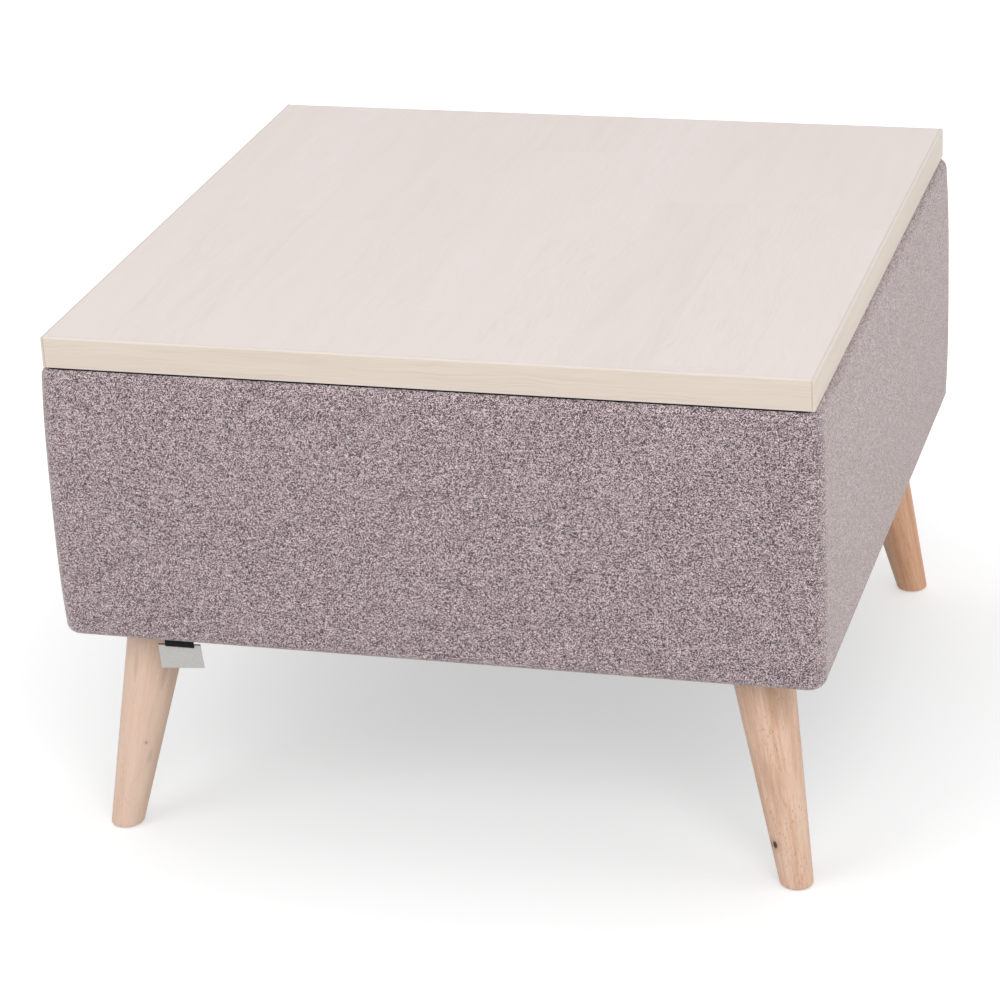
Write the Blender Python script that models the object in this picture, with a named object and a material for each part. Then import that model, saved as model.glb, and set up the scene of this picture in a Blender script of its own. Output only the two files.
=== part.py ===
"""Square coffee table: a laminated top on a padded fabric box that stands on four splayed wooden legs.

Sizes are in metres, with +Z up. The origin is on the floor under the middle of the table, +X runs to
the right along the front and +Y runs from the front to the back.
"""

import math

import bmesh
import bpy
from mathutils import Matrix, Vector

# Driving dimensions

TOP_WIDTH = 0.600
TOP_DEPTH = 0.600
TOP_THICKNESS = 0.025
BAND_THICKNESS = 0.002
BAND_EDGE_RADIUS = 0.0015

BODY_HEIGHT = 0.227
BODY_PROUD = 0.0045
PANEL_THICKNESS = 0.016
DECK_THICKNESS = 0.016
BASE_THICKNESS = 0.016
BLOCK_SIZE = 0.030
BLOCK_LIFT = 0.015

FOAM_THICKNESS = 0.012
FABRIC_THICKNESS = 0.0012
FACE_CROWN = 0.0035
CORNER_CROWN = 0.002
CORNER_RADIUS = 0.014
UPPER_EDGE_RADIUS = 0.008
LOWER_EDGE_RADIUS = 0.008
HEM_WIDTH = 0.020
HEM_CORNER_RADIUS = 0.002

DUST_COVER_THICKNESS = 0.0008
DUST_COVER_MARGIN = 0.010

LEG_HEIGHT = 0.178
LEG_TOP_DIAMETER = 0.050
LEG_FOOT_DIAMETER = 0.026
LEG_SPLAY = math.radians(14.5)
FOOT_INSET = 0.023
FOOT_ROUNDING = 0.002

GLIDE_RIM = 0.004
GLIDE_HEIGHT = 0.004
GLIDE_STANDOUT = 0.001
GLIDE_CHAMFER = 0.0006

BOLT_DIAMETER = 0.008
BOLT_IN_LEG = 0.035
BOLT_STANDOUT = 0.001
BOLT_POINT = 0.005
INSERT_WALL = 0.0015
INSERT_FLANGE_RIM = 0.0045
INSERT_FLANGE_THICKNESS = 0.002
INSERT_SETBACK = 0.004

SCREW_DIAMETER = 0.004
SCREW_HEAD_DIAMETER = 0.008
SCREW_HEAD_HEIGHT = 0.0025
SCREW_BITE = 0.025
SCREW_POINT = 0.006
SCREW_RECESS = 0.0002
SCREW_FROM_CORNER = 0.130
TOP_SCREW_HEAD_DIAMETER = 0.009
TOP_SCREW_HEAD_HEIGHT = 0.003
TOP_SCREW_COVER = 0.008
TOP_SCREW_FROM_BLOCK = 0.024

LABEL_WIDTH = 0.0355
LABEL_HEIGHT = 0.0213
LABEL_THICKNESS = 0.001
LABEL_CORNER_RADIUS = 0.001
LABEL_OVERLAP = 0.002
LABEL_FROM_SIDE = 0.0945
TAPE_WIDTH = 0.024
TAPE_THICKNESS = 0.0008
TAPE_DROP = 0.006

# Clearances and mesh steps

GAP = 0.0003
CUTTER_LEAD = 0.001
MIN_CORNER_RADIUS = 0.0005
MERGE_DISTANCE = 0.000001
LEG_SIDES = 32
SCREW_SIDES = 12
BOLT_SIDES = 16
ROUND_STEPS = 3
CORNER_STEPS = 4
FACE_STEPS = 6
SIDE_STEPS = 5

# Heights that follow from the dimensions

LEG_TOP = LEG_HEIGHT - GAP
DUST_COVER_TOP = LEG_HEIGHT + DUST_COVER_THICKNESS
COVER_BOTTOM = DUST_COVER_TOP + GAP
BASE_BOTTOM = COVER_BOTTOM + FABRIC_THICKNESS + GAP
BASE_TOP = BASE_BOTTOM + BASE_THICKNESS
TOP_BOTTOM = LEG_HEIGHT + BODY_HEIGHT
TOP_SURFACE = TOP_BOTTOM + TOP_THICKNESS
COVER_TOP = TOP_BOTTOM - GAP
DECK_TOP = COVER_TOP - FABRIC_THICKNESS - GAP
DECK_BOTTOM = DECK_TOP - DECK_THICKNESS
PANEL_BOTTOM = BASE_TOP + GAP
PANEL_TOP = DECK_BOTTOM - GAP

# Half sizes in X and Y, from the outside of the cover inwards

TOP_HALF = Vector((TOP_WIDTH / 2, TOP_DEPTH / 2))
COVER_HALF = TOP_HALF + Vector((BODY_PROUD, BODY_PROUD))
FOAM_OFFSET = FABRIC_THICKNESS + GAP
PADDING = FOAM_OFFSET + FOAM_THICKNESS + GAP
FRAME_HALF = COVER_HALF - Vector((PADDING, PADDING))
FRAME_CORNER = min(max(CORNER_RADIUS - PADDING, MIN_CORNER_RADIUS), PANEL_THICKNESS - GAP)
UPPER_EDGE = min(UPPER_EDGE_RADIUS, PADDING - GAP)
LOWER_EDGE = min(LOWER_EDGE_RADIUS, PADDING - GAP)
INNER_HALF = FRAME_HALF - Vector((PANEL_THICKNESS + GAP, PANEL_THICKNESS + GAP))
FLAT_HALF = COVER_HALF - Vector((LOWER_EDGE, LOWER_EDGE))

# Corners of the table: name, side in X and side in Y

CORNERS = (
    ("front_left", -1, -1),
    ("front_right", 1, -1),
    ("back_right", 1, 1),
    ("back_left", -1, 1),
)

# Sides of the table: name, outward direction, and the axis that the side runs along

SIDES = (
    ("front", Vector((0, -1, 0)), 0),
    ("back", Vector((0, 1, 0)), 0),
    ("left", Vector((-1, 0, 0)), 1),
    ("right", Vector((1, 0, 0)), 1),
)


# Scene and materials

def clear_scene():
    """Remove every object that the scene starts with."""
    for item in list(bpy.data.objects):
        bpy.data.objects.remove(item)


def make_material(name, color, roughness, metallic=0.0):
    """Return a Principled material with one colour, roughness and metallic value."""
    material = bpy.data.materials.new(name)
    material.use_nodes = True
    shader = material.node_tree.nodes["Principled BSDF"]
    shader.inputs["Base Color"].default_value = (*color, 1.0)
    shader.inputs["Roughness"].default_value = roughness
    shader.inputs["Metallic"].default_value = metallic
    material.diffuse_color = (*color, 1.0)
    return material


clear_scene()
ROOT = bpy.data.objects.new("coffee_table", None)
bpy.context.scene.collection.objects.link(ROOT)

LAMINATE = make_material("pale_wood_laminate", (0.78, 0.71, 0.68), 0.45)
EDGE_BAND = make_material("pale_wood_edge_band", (0.75, 0.65, 0.56), 0.40)
CHIPBOARD = make_material("chipboard", (0.55, 0.42, 0.27), 0.85)
SOFTWOOD = make_material("softwood", (0.66, 0.48, 0.28), 0.70)
FOAM = make_material("upholstery_foam", (0.80, 0.76, 0.62), 0.95)
FABRIC = make_material("mauve_melange_fabric", (0.35, 0.28, 0.29), 0.95)
DUST_CLOTH = make_material("black_nonwoven", (0.015, 0.015, 0.016), 0.95)
BEECH = make_material("lacquered_beech", (0.66, 0.47, 0.35), 0.42)
STEEL = make_material("zinc_plated_steel", (0.62, 0.62, 0.60), 0.35, 1.0)
NYLON = make_material("grey_nylon", (0.30, 0.29, 0.28), 0.50)
LABEL_CLOTH = make_material("pale_label_cloth", (0.72, 0.70, 0.68), 0.80)
TAPE_CLOTH = make_material("black_label_tape", (0.020, 0.018, 0.018), 0.85)


# Shape helpers

def finish_mesh(shape, name, smooth_angle=None):
    """Turn a bmesh into a mesh whose faces point out, shaded smooth up to an angle if one is given."""
    bmesh.ops.remove_doubles(shape, verts=shape.verts, dist=MERGE_DISTANCE)
    bmesh.ops.recalc_face_normals(shape, faces=shape.faces)
    mesh = bpy.data.meshes.new(name)
    shape.to_mesh(mesh)
    shape.free()
    if smooth_angle is not None:
        mesh.shade_smooth()
        mesh.set_sharp_from_angle(angle=smooth_angle)
    return mesh


def prism_mesh(name, outline, low, high):
    """Extrude a flat outline along local Z from low to high."""
    shape = bmesh.new()
    face = shape.faces.new([shape.verts.new((x, y, low)) for x, y in outline])
    raised = bmesh.ops.extrude_face_region(shape, geom=[face])
    moved = [item for item in raised["geom"] if isinstance(item, bmesh.types.BMVert)]
    bmesh.ops.translate(shape, verts=moved, vec=(0, 0, high - low))
    return finish_mesh(shape, name)


def add_turned(shape, profile, sides, place, ring=False):
    """Spin a profile of radius and height about Z into a bmesh, and put it at a place."""
    verts = [shape.verts.new((radius, 0, height)) for radius, height in profile]
    edges = [shape.edges.new(pair) for pair in zip(verts, verts[1:])]
    if ring:
        edges.append(shape.edges.new((verts[-1], verts[0])))
    before = set(shape.verts) - set(verts)
    bmesh.ops.spin(
        shape,
        geom=verts + edges,
        axis=(0, 0, 1),
        cent=(0, 0, 0),
        angle=math.tau,
        steps=sides,
        use_merge=True,
    )
    added = [vert for vert in shape.verts if vert not in before]
    bmesh.ops.transform(shape, matrix=place, verts=added)


def turned_mesh(name, profile, sides, ring=False):
    """Return the mesh of one turned piece on the Z axis."""
    shape = bmesh.new()
    add_turned(shape, profile, sides, Matrix.Identity(4), ring)
    return finish_mesh(shape, name, math.radians(35))


def loft_mesh(name, rings, closed=False):
    """Join rings of equally many points, either capped at both ends or closed into a loop.

    Every patch is split along the same diagonal, so that two lofts an offset apart stay apart.
    """
    shape = bmesh.new()
    loops = [[shape.verts.new(point) for point in ring] for ring in rings]
    pairs = list(zip(loops, loops[1:]))
    if closed:
        pairs.append((loops[-1], loops[0]))
    for lower, upper in pairs:
        count = len(lower)
        for index in range(count):
            after = (index + 1) % count
            shape.faces.new((lower[index], lower[after], upper[after]))
            shape.faces.new((lower[index], upper[after], upper[index]))
    if not closed:
        shape.faces.new(loops[0])
        shape.faces.new(loops[-1])
    return finish_mesh(shape, name, math.radians(35))


def add_piece(name, mesh, material, place=None):
    """Add one named piece of the table at a place."""
    piece = bpy.data.objects.new(name, mesh)
    bpy.context.scene.collection.objects.link(piece)
    piece.parent = ROOT
    if place is not None:
        piece.matrix_local = place
    if not mesh.materials:
        mesh.materials.append(material)
    return piece


def add_cutter(name, profile, sides, places):
    """Add one hidden cutter: a turned profile repeated at every place."""
    shape = bmesh.new()
    for place in places:
        add_turned(shape, profile, sides, place)
    cutter = bpy.data.objects.new(name, finish_mesh(shape, name))
    bpy.context.scene.collection.objects.link(cutter)
    cutter.parent = ROOT
    cutter.hide_render = True
    cutter.display_type = "WIRE"
    return cutter


def cut(piece, *cutters):
    """Cut holes into a piece with Boolean modifiers."""
    for cutter in cutters:
        hole = piece.modifiers.new(cutter.name, "BOOLEAN")
        hole.operation = "DIFFERENCE"
        hole.solver = "EXACT"
        hole.object = cutter


def axes_place(origin, local_x, local_y):
    """Return the place whose local X and Y run along two given directions."""
    turn = Matrix((local_x, local_y, local_x.cross(local_y))).transposed()
    return Matrix.Translation(origin) @ turn.to_4x4()


def upright(x, y, z):
    """Return an unturned place at a point."""
    return Matrix.Translation((x, y, z))


def upended(x, y, z):
    """Return a place at a point whose local Z points down."""
    return Matrix.Translation((x, y, z)) @ Matrix.Rotation(math.pi, 4, "X")


def arc(centre, radius, start, end, steps):
    """Return points on an arc, from a start angle to an end angle in degrees."""
    points = []
    for step in range(steps + 1):
        angle = math.radians(start + (end - start) * step / steps)
        points.append((centre[0] + radius * math.cos(angle), centre[1] + radius * math.sin(angle)))
    return points


def rectangle(low_x, low_y, high_x, high_y):
    """Return the outline of a square-cornered rectangle."""
    return [(low_x, low_y), (high_x, low_y), (high_x, high_y), (low_x, high_y)]


def rounded_rectangle(half_x, half_y, radius):
    """Return the outline of a rectangle about the origin with rounded corners."""
    outline = []
    for turn, (side_x, side_y) in enumerate(((1, 1), (-1, 1), (-1, -1), (1, -1))):
        centre = (side_x * (half_x - radius), side_y * (half_y - radius))
        outline += arc(centre, radius, 90 * turn, 90 * turn + 90, CORNER_STEPS)
    return outline


# Places of the fasteners

SIDE_SCREW_SPOTS = []
for side_name, outward, along in SIDES:
    middle = outward * (FRAME_HALF[1 - along] - PANEL_THICKNESS / 2)
    for number, sign in enumerate((-1, 1), start=1):
        spot = middle.copy()
        spot[along] = sign * (FRAME_HALF[along] - SCREW_FROM_CORNER)
        SIDE_SCREW_SPOTS.append((f"{side_name}_{number}", spot))

BLOCK_HALF = INNER_HALF - Vector((BLOCK_SIZE, BLOCK_SIZE))
TOP_SCREW_HALF = BLOCK_HALF - Vector((TOP_SCREW_FROM_BLOCK, TOP_SCREW_FROM_BLOCK))
FOOT_HALF = TOP_HALF - Vector((FOOT_INSET, FOOT_INSET))
LEG_LEAN = math.tan(LEG_SPLAY) / math.sqrt(2)
LEG_TOP_HALF = FOOT_HALF - Vector((LEG_LEAN, LEG_LEAN)) * LEG_TOP

DECK_SCREW_PLACES = [upright(spot.x, spot.y, DECK_TOP - SCREW_RECESS) for _, spot in SIDE_SCREW_SPOTS]
BASE_SCREW_PLACES = [upended(spot.x, spot.y, BASE_BOTTOM + SCREW_RECESS) for _, spot in SIDE_SCREW_SPOTS]
TOP_SCREW_PLACES = [
    upended(sx * TOP_SCREW_HALF.x, sy * TOP_SCREW_HALF.y, DECK_BOTTOM - GAP) for _, sx, sy in CORNERS
]
LEG_TOP_PLACES = [upright(sx * LEG_TOP_HALF.x, sy * LEG_TOP_HALF.y, LEG_TOP) for _, sx, sy in CORNERS]
INSERT_PLACES = [upright(sx * LEG_TOP_HALF.x, sy * LEG_TOP_HALF.y, BASE_TOP + GAP) for _, sx, sy in CORNERS]
FOOT_PLACES = [upright(sx * FOOT_HALF.x, sy * FOOT_HALF.y, 0) for _, sx, sy in CORNERS]


# Fasteners: countersunk carcass screws, pan-head top screws, insert nuts, hanger bolts and glides

def countersunk_screw(length, clearance=0.0):
    """Return a countersunk screw's profile, or with a clearance the hole that it needs."""
    head = SCREW_HEAD_DIAMETER / 2 + clearance
    shank = SCREW_DIAMETER / 2 + clearance
    if clearance:
        return [
            (0, CUTTER_LEAD),
            (head, CUTTER_LEAD),
            (head, 0),
            (shank, -SCREW_HEAD_HEIGHT),
            (shank, -length - clearance),
            (0, -length - clearance),
        ]
    return [(0, 0), (head, 0), (shank, -SCREW_HEAD_HEIGHT), (shank, SCREW_POINT - length), (0, -length)]


DECK_SCREW_LENGTH = DECK_THICKNESS + SCREW_BITE
BASE_SCREW_LENGTH = BASE_THICKNESS + SCREW_BITE
TOP_SCREW_LENGTH = TOP_SURFACE - TOP_SCREW_COVER - DECK_BOTTOM
TOP_SCREW_SHANK = SCREW_DIAMETER / 2
TOP_SCREW_HEAD = TOP_SCREW_HEAD_DIAMETER / 2
BOLT_RADIUS = BOLT_DIAMETER / 2
BOLT_TOP = BASE_TOP + GAP + INSERT_FLANGE_THICKNESS + BOLT_STANDOUT - LEG_TOP
INSERT_BORE = BOLT_RADIUS + GAP
INSERT_BARREL = INSERT_BORE + INSERT_WALL
INSERT_FLANGE = INSERT_BARREL + INSERT_FLANGE_RIM
INSERT_DEPTH = BASE_THICKNESS + GAP - INSERT_SETBACK
GLIDE_RADIUS = LEG_FOOT_DIAMETER / 2 - GLIDE_RIM

DECK_SCREW_MESH = turned_mesh("deck_screw", countersunk_screw(DECK_SCREW_LENGTH), SCREW_SIDES)
BASE_SCREW_MESH = turned_mesh("base_screw", countersunk_screw(BASE_SCREW_LENGTH), SCREW_SIDES)
TOP_SCREW_MESH = turned_mesh(
    "top_screw",
    [
        (0, TOP_SCREW_HEAD_HEIGHT),
        (TOP_SCREW_HEAD * 0.6, TOP_SCREW_HEAD_HEIGHT),
        (TOP_SCREW_HEAD, TOP_SCREW_HEAD_HEIGHT * 0.4),
        (TOP_SCREW_HEAD, 0),
        (TOP_SCREW_SHANK, 0),
        (TOP_SCREW_SHANK, SCREW_POINT - TOP_SCREW_LENGTH),
        (0, -TOP_SCREW_LENGTH),
    ],
    SCREW_SIDES,
)
BOLT_MESH = turned_mesh(
    "hanger_bolt",
    [(0, BOLT_TOP), (BOLT_RADIUS, BOLT_TOP), (BOLT_RADIUS, BOLT_POINT - BOLT_IN_LEG), (0, -BOLT_IN_LEG)],
    BOLT_SIDES,
)
INSERT_MESH = turned_mesh(
    "insert_nut",
    [
        (INSERT_BORE, INSERT_FLANGE_THICKNESS),
        (INSERT_FLANGE, INSERT_FLANGE_THICKNESS),
        (INSERT_FLANGE, 0),
        (INSERT_BARREL, 0),
        (INSERT_BARREL, -INSERT_DEPTH),
        (INSERT_BORE, -INSERT_DEPTH),
    ],
    BOLT_SIDES,
    ring=True,
)
GLIDE_MESH = turned_mesh(
    "glide",
    [
        (0, GLIDE_HEIGHT),
        (GLIDE_RADIUS, GLIDE_HEIGHT),
        (GLIDE_RADIUS, GLIDE_CHAMFER),
        (GLIDE_RADIUS - GLIDE_CHAMFER, 0),
        (0, 0),
    ],
    BOLT_SIDES,
)

for (spot_name, _), deck_place, base_place in zip(SIDE_SCREW_SPOTS, DECK_SCREW_PLACES, BASE_SCREW_PLACES):
    add_piece(f"deck_screw_{spot_name}", DECK_SCREW_MESH, STEEL, deck_place)
    add_piece(f"base_screw_{spot_name}", BASE_SCREW_MESH, STEEL, base_place)
for index, (corner_name, _, _) in enumerate(CORNERS):
    add_piece(f"top_screw_{corner_name}", TOP_SCREW_MESH, STEEL, TOP_SCREW_PLACES[index])
    add_piece(f"insert_nut_{corner_name}", INSERT_MESH, STEEL, INSERT_PLACES[index])
    add_piece(f"hanger_bolt_{corner_name}", BOLT_MESH, STEEL, LEG_TOP_PLACES[index])
    add_piece(f"glide_{corner_name}", GLIDE_MESH, NYLON, FOOT_PLACES[index])

DECK_SCREW_HOLES = add_cutter(
    "deck_screw_holes", countersunk_screw(DECK_SCREW_LENGTH, GAP), SCREW_SIDES, DECK_SCREW_PLACES
)
BASE_SCREW_HOLES = add_cutter(
    "base_screw_holes", countersunk_screw(BASE_SCREW_LENGTH, GAP), SCREW_SIDES, BASE_SCREW_PLACES
)
TOP_SCREW_HOLES = add_cutter(
    "top_screw_holes",
    [
        (0, CUTTER_LEAD),
        (TOP_SCREW_SHANK + GAP, CUTTER_LEAD),
        (TOP_SCREW_SHANK + GAP, -TOP_SCREW_LENGTH - GAP),
        (0, -TOP_SCREW_LENGTH - GAP),
    ],
    SCREW_SIDES,
    TOP_SCREW_PLACES,
)
BOLT_HOLES = add_cutter(
    "bolt_holes",
    [
        (0, BASE_BOTTOM - LEG_TOP),
        (BOLT_RADIUS + GAP, BASE_BOTTOM - LEG_TOP),
        (BOLT_RADIUS + GAP, -BOLT_IN_LEG - GAP),
        (0, -BOLT_IN_LEG - GAP),
    ],
    BOLT_SIDES,
    LEG_TOP_PLACES,
)
INSERT_HOLES = add_cutter(
    "insert_holes",
    [
        (0, CUTTER_LEAD),
        (INSERT_BARREL + GAP, CUTTER_LEAD),
        (INSERT_BARREL + GAP, -BASE_THICKNESS - GAP - CUTTER_LEAD),
        (0, -BASE_THICKNESS - GAP - CUTTER_LEAD),
    ],
    BOLT_SIDES,
    INSERT_PLACES,
)
GLIDE_HOLES = add_cutter(
    "glide_holes",
    [
        (0, GLIDE_HEIGHT + GAP),
        (GLIDE_RADIUS + GAP, GLIDE_HEIGHT + GAP),
        (GLIDE_RADIUS + GAP, -CUTTER_LEAD),
        (0, -CUTTER_LEAD),
    ],
    BOLT_SIDES,
    FOOT_PLACES,
)


# Top: a laminated board with an edge band on each side

BOARD_HALF = TOP_HALF - Vector((BAND_THICKNESS + GAP, BAND_THICKNESS + GAP))
BAND_ROUND = min(BAND_EDGE_RADIUS, BAND_THICKNESS - GAP)

top_board = add_piece(
    "top_board",
    prism_mesh(
        "top_board",
        rectangle(-BOARD_HALF.x, -BOARD_HALF.y, BOARD_HALF.x, BOARD_HALF.y),
        TOP_BOTTOM,
        TOP_SURFACE,
    ),
    LAMINATE,
)
cut(top_board, TOP_SCREW_HOLES)

BAND_OUTLINE = [(0, TOP_BOTTOM)]
BAND_OUTLINE += arc((BAND_THICKNESS - BAND_ROUND, TOP_BOTTOM + BAND_ROUND), BAND_ROUND, -90, 0, ROUND_STEPS)
BAND_OUTLINE += arc((BAND_THICKNESS - BAND_ROUND, TOP_SURFACE - BAND_ROUND), BAND_ROUND, 0, 90, ROUND_STEPS)
BAND_OUTLINE += [(0, TOP_SURFACE)]

# The left and right bands run the full depth and cover the ends of the front and back ones
BAND_HALF_LENGTHS = (BOARD_HALF.x, TOP_HALF.y)

for side_name, outward, along in SIDES:
    half_length = BAND_HALF_LENGTHS[along]
    inner_face = outward * (TOP_HALF[1 - along] - BAND_THICKNESS)
    add_piece(
        f"edge_band_{side_name}",
        prism_mesh(f"edge_band_{side_name}", BAND_OUTLINE, -half_length, half_length),
        EDGE_BAND,
        axes_place(inner_face, outward, Vector((0, 0, 1))),
    )


# Carcass: base and deck panels, four side panels between them, and a glued block in each corner

FRAME_OUTLINE = rounded_rectangle(FRAME_HALF.x, FRAME_HALF.y, FRAME_CORNER)

deck_panel = add_piece(
    "deck_panel", prism_mesh("deck_panel", FRAME_OUTLINE, DECK_BOTTOM, DECK_TOP), CHIPBOARD
)
cut(deck_panel, DECK_SCREW_HOLES, TOP_SCREW_HOLES)

base_panel = add_piece(
    "base_panel", prism_mesh("base_panel", FRAME_OUTLINE, BASE_BOTTOM, BASE_TOP), CHIPBOARD
)
cut(base_panel, BASE_SCREW_HOLES, INSERT_HOLES)

# The front and back panels run the full width, with eased outer corners
LONG_PANEL_OUTLINE = [(FRAME_HALF.x, PANEL_THICKNESS), (-FRAME_HALF.x, PANEL_THICKNESS)]
LONG_PANEL_OUTLINE += arc((FRAME_CORNER - FRAME_HALF.x, FRAME_CORNER), FRAME_CORNER, 180, 270, CORNER_STEPS)
LONG_PANEL_OUTLINE += arc((FRAME_HALF.x - FRAME_CORNER, FRAME_CORNER), FRAME_CORNER, 270, 360, CORNER_STEPS)
SHORT_PANEL_OUTLINE = rectangle(-INNER_HALF.y, 0, INNER_HALF.y, PANEL_THICKNESS)
PANEL_OUTLINES = (LONG_PANEL_OUTLINE, SHORT_PANEL_OUTLINE)

for side_name, outward, along in SIDES:
    outer_face = outward * FRAME_HALF[1 - along]
    panel = add_piece(
        f"side_panel_{side_name}",
        prism_mesh(f"side_panel_{side_name}", PANEL_OUTLINES[along], PANEL_BOTTOM, PANEL_TOP),
        CHIPBOARD,
        axes_place(outer_face, Vector((0, 0, 1)).cross(outward), -outward),
    )
    cut(panel, DECK_SCREW_HOLES, BASE_SCREW_HOLES)

BLOCK_MESH = prism_mesh(
    "corner_block",
    rectangle(-BLOCK_SIZE / 2, -BLOCK_SIZE / 2, BLOCK_SIZE / 2, BLOCK_SIZE / 2),
    BASE_TOP + BLOCK_LIFT,
    PANEL_TOP,
)
BLOCK_MIDDLE = BLOCK_HALF + Vector((BLOCK_SIZE / 2, BLOCK_SIZE / 2))
for corner_name, sx, sy in CORNERS:
    block_place = upright(sx * BLOCK_MIDDLE.x, sy * BLOCK_MIDDLE.y, 0)
    add_piece(f"corner_block_{corner_name}", BLOCK_MESH, SOFTWOOD, block_place)


# Upholstery: a foam wrap and a fabric cover whose sides bow out between rounded edges

def bowed_ring(inset, radius, height, bow):
    """Return one level of the padded box: a rounded rectangle whose sides bow out.

    The corners move out by bow times the corner crown, the middle of each side by bow times the face crown.
    """
    half = COVER_HALF - Vector((inset, inset))
    shift = CORNER_CROWN * bow
    swell = (FACE_CROWN - CORNER_CROWN) * bow
    centres = []
    for side_x, side_y in ((1, 1), (-1, 1), (-1, -1), (1, -1)):
        centres.append((side_x * (half.x + shift - radius), side_y * (half.y + shift - radius)))
    ring = []
    for turn in range(4):
        ring += arc(centres[turn], radius, 90 * turn, 90 * turn + 90, CORNER_STEPS)
        start = ring[-1]
        end = arc(centres[(turn + 1) % 4], radius, 90 * turn + 90, 90 * turn + 180, CORNER_STEPS)[0]
        normal = Vector((math.cos(math.radians(90 * turn + 90)), math.sin(math.radians(90 * turn + 90))))
        for step in range(1, FACE_STEPS):
            share = step / FACE_STEPS
            push = normal * swell * (1 - (2 * share - 1) ** 2)
            ring.append(tuple(Vector(start).lerp(Vector(end), share) + push))
    return [(x, y, height) for x, y in ring]


def padded_levels(offset):
    """Return the levels of a surface that lies an offset inside the cover's outer face, bottom to top.

    A quarter round at the bottom edge and one at the top edge join a side that bows out by one minus the
    cube of the distance from its middle height.
    """
    low = COVER_BOTTOM + LOWER_EDGE
    high = COVER_TOP - UPPER_EDGE
    levels = []
    for step in range(ROUND_STEPS + 1):
        angle = math.pi / 2 * step / ROUND_STEPS
        radius = LOWER_EDGE - offset
        levels.append((LOWER_EDGE - radius * math.sin(angle), low - radius * math.cos(angle), 0.0))
    for step in range(1, SIDE_STEPS):
        share = step / SIDE_STEPS
        levels.append((offset, low + share * (high - low), 1 - abs(2 * share - 1) ** 3))
    for step in range(ROUND_STEPS + 1):
        angle = math.pi / 2 * (1 - step / ROUND_STEPS)
        radius = UPPER_EDGE - offset
        levels.append((UPPER_EDGE - radius * math.sin(angle), high + radius * math.cos(angle), 0.0))
    return levels


def padded_rings(levels, least_radius):
    """Turn levels into rings whose corner radius shrinks as they move in, down to a least radius."""
    rings = []
    for inset, height, bow in levels:
        rings.append(bowed_ring(inset, max(CORNER_RADIUS - inset, least_radius), height, bow))
    return rings


foam_rings = padded_rings(reversed(padded_levels(FOAM_OFFSET)), HEM_CORNER_RADIUS)
for height in (BASE_BOTTOM, DECK_TOP):
    foam_rings.append(bowed_ring(PADDING - GAP, FRAME_CORNER + GAP, height, 0.0))
add_piece("foam_wrap", loft_mesh("foam_wrap", foam_rings, closed=True), FOAM)

# The cover's outer face runs from one hem's edge to the other, and its inner face runs back
LOWER_HEM = LOWER_EDGE + HEM_WIDTH
UPPER_HEM = UPPER_EDGE + HEM_WIDTH
cover_outer = padded_levels(0.0)
cover_inner = padded_levels(FABRIC_THICKNESS)
cover_levels = [
    (LOWER_HEM, COVER_BOTTOM, 0.0),
    *cover_outer,
    (UPPER_HEM, COVER_TOP, 0.0),
    (UPPER_HEM, COVER_TOP - FABRIC_THICKNESS, 0.0),
    *reversed(cover_inner),
    (LOWER_HEM, COVER_BOTTOM + FABRIC_THICKNESS, 0.0),
]
cover_rings = padded_rings(cover_levels, HEM_CORNER_RADIUS)
add_piece("fabric_cover", loft_mesh("fabric_cover", cover_rings, closed=True), FABRIC)

DUST_COVER_HALF = FLAT_HALF - Vector((DUST_COVER_MARGIN, DUST_COVER_MARGIN))
dust_cover = add_piece(
    "dust_cover",
    prism_mesh(
        "dust_cover",
        rounded_rectangle(DUST_COVER_HALF.x, DUST_COVER_HALF.y, HEM_CORNER_RADIUS),
        LEG_HEIGHT,
        DUST_COVER_TOP,
    ),
    DUST_CLOTH,
)
cut(dust_cover, BOLT_HOLES)


# Legs: turned cones that lean out to the corners, cut level at the top and at the foot

def leg_ring(side_x, side_y, height, shrink=0.0):
    """Return the level section of a leaning cone at a height, drawn in by a shrink.

    Each line of the cone runs from the foot's circle to the top's circle, both square to the leg's axis,
    and the ring holds the points where those lines cross the height.
    """
    foot = Vector((side_x * FOOT_HALF.x, side_y * FOOT_HALF.y, 0))
    top = Vector((side_x * LEG_TOP_HALF.x, side_y * LEG_TOP_HALF.y, LEG_TOP))
    axis = (top - foot).normalized()
    across = axis.cross(Vector((0, 0, 1))).normalized()
    over = axis.cross(across)
    centre = foot.lerp(top, height / LEG_TOP)
    ring = []
    for step in range(LEG_SIDES):
        angle = math.tau * step / LEG_SIDES
        spoke = across * math.cos(angle) + over * math.sin(angle)
        low = foot + spoke * (LEG_FOOT_DIAMETER / 2)
        high = top + spoke * (LEG_TOP_DIAMETER / 2)
        point = low.lerp(high, (height - low.z) / (high.z - low.z))
        reach = point - centre
        ring.append(centre + reach * (1 - shrink / reach.length))
    return ring


for corner_name, sx, sy in CORNERS:
    leg_rings = []
    for step in range(ROUND_STEPS + 1):
        angle = math.pi / 2 * step / ROUND_STEPS
        lift = FOOT_ROUNDING * (1 - math.cos(angle))
        leg_rings.append(leg_ring(sx, sy, GLIDE_STANDOUT + lift, FOOT_ROUNDING * (1 - math.sin(angle))))
    leg_rings.append(leg_ring(sx, sy, LEG_TOP))
    leg = add_piece(f"leg_{corner_name}", loft_mesh(f"leg_{corner_name}", leg_rings), BEECH)
    cut(leg, BOLT_HOLES, GLIDE_HOLES)


# Label: a bare tag on a folded tape that is fixed under the front hem, near the front left leg

LABEL_X = LABEL_FROM_SIDE - COVER_HALF.x
TAPE_TOP = COVER_BOTTOM - GAP
TAPE_TUCK = DUST_COVER_MARGIN - GAP
FORWARD = Vector((0, -1, 0))
UP = Vector((0, 0, 1))

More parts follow.
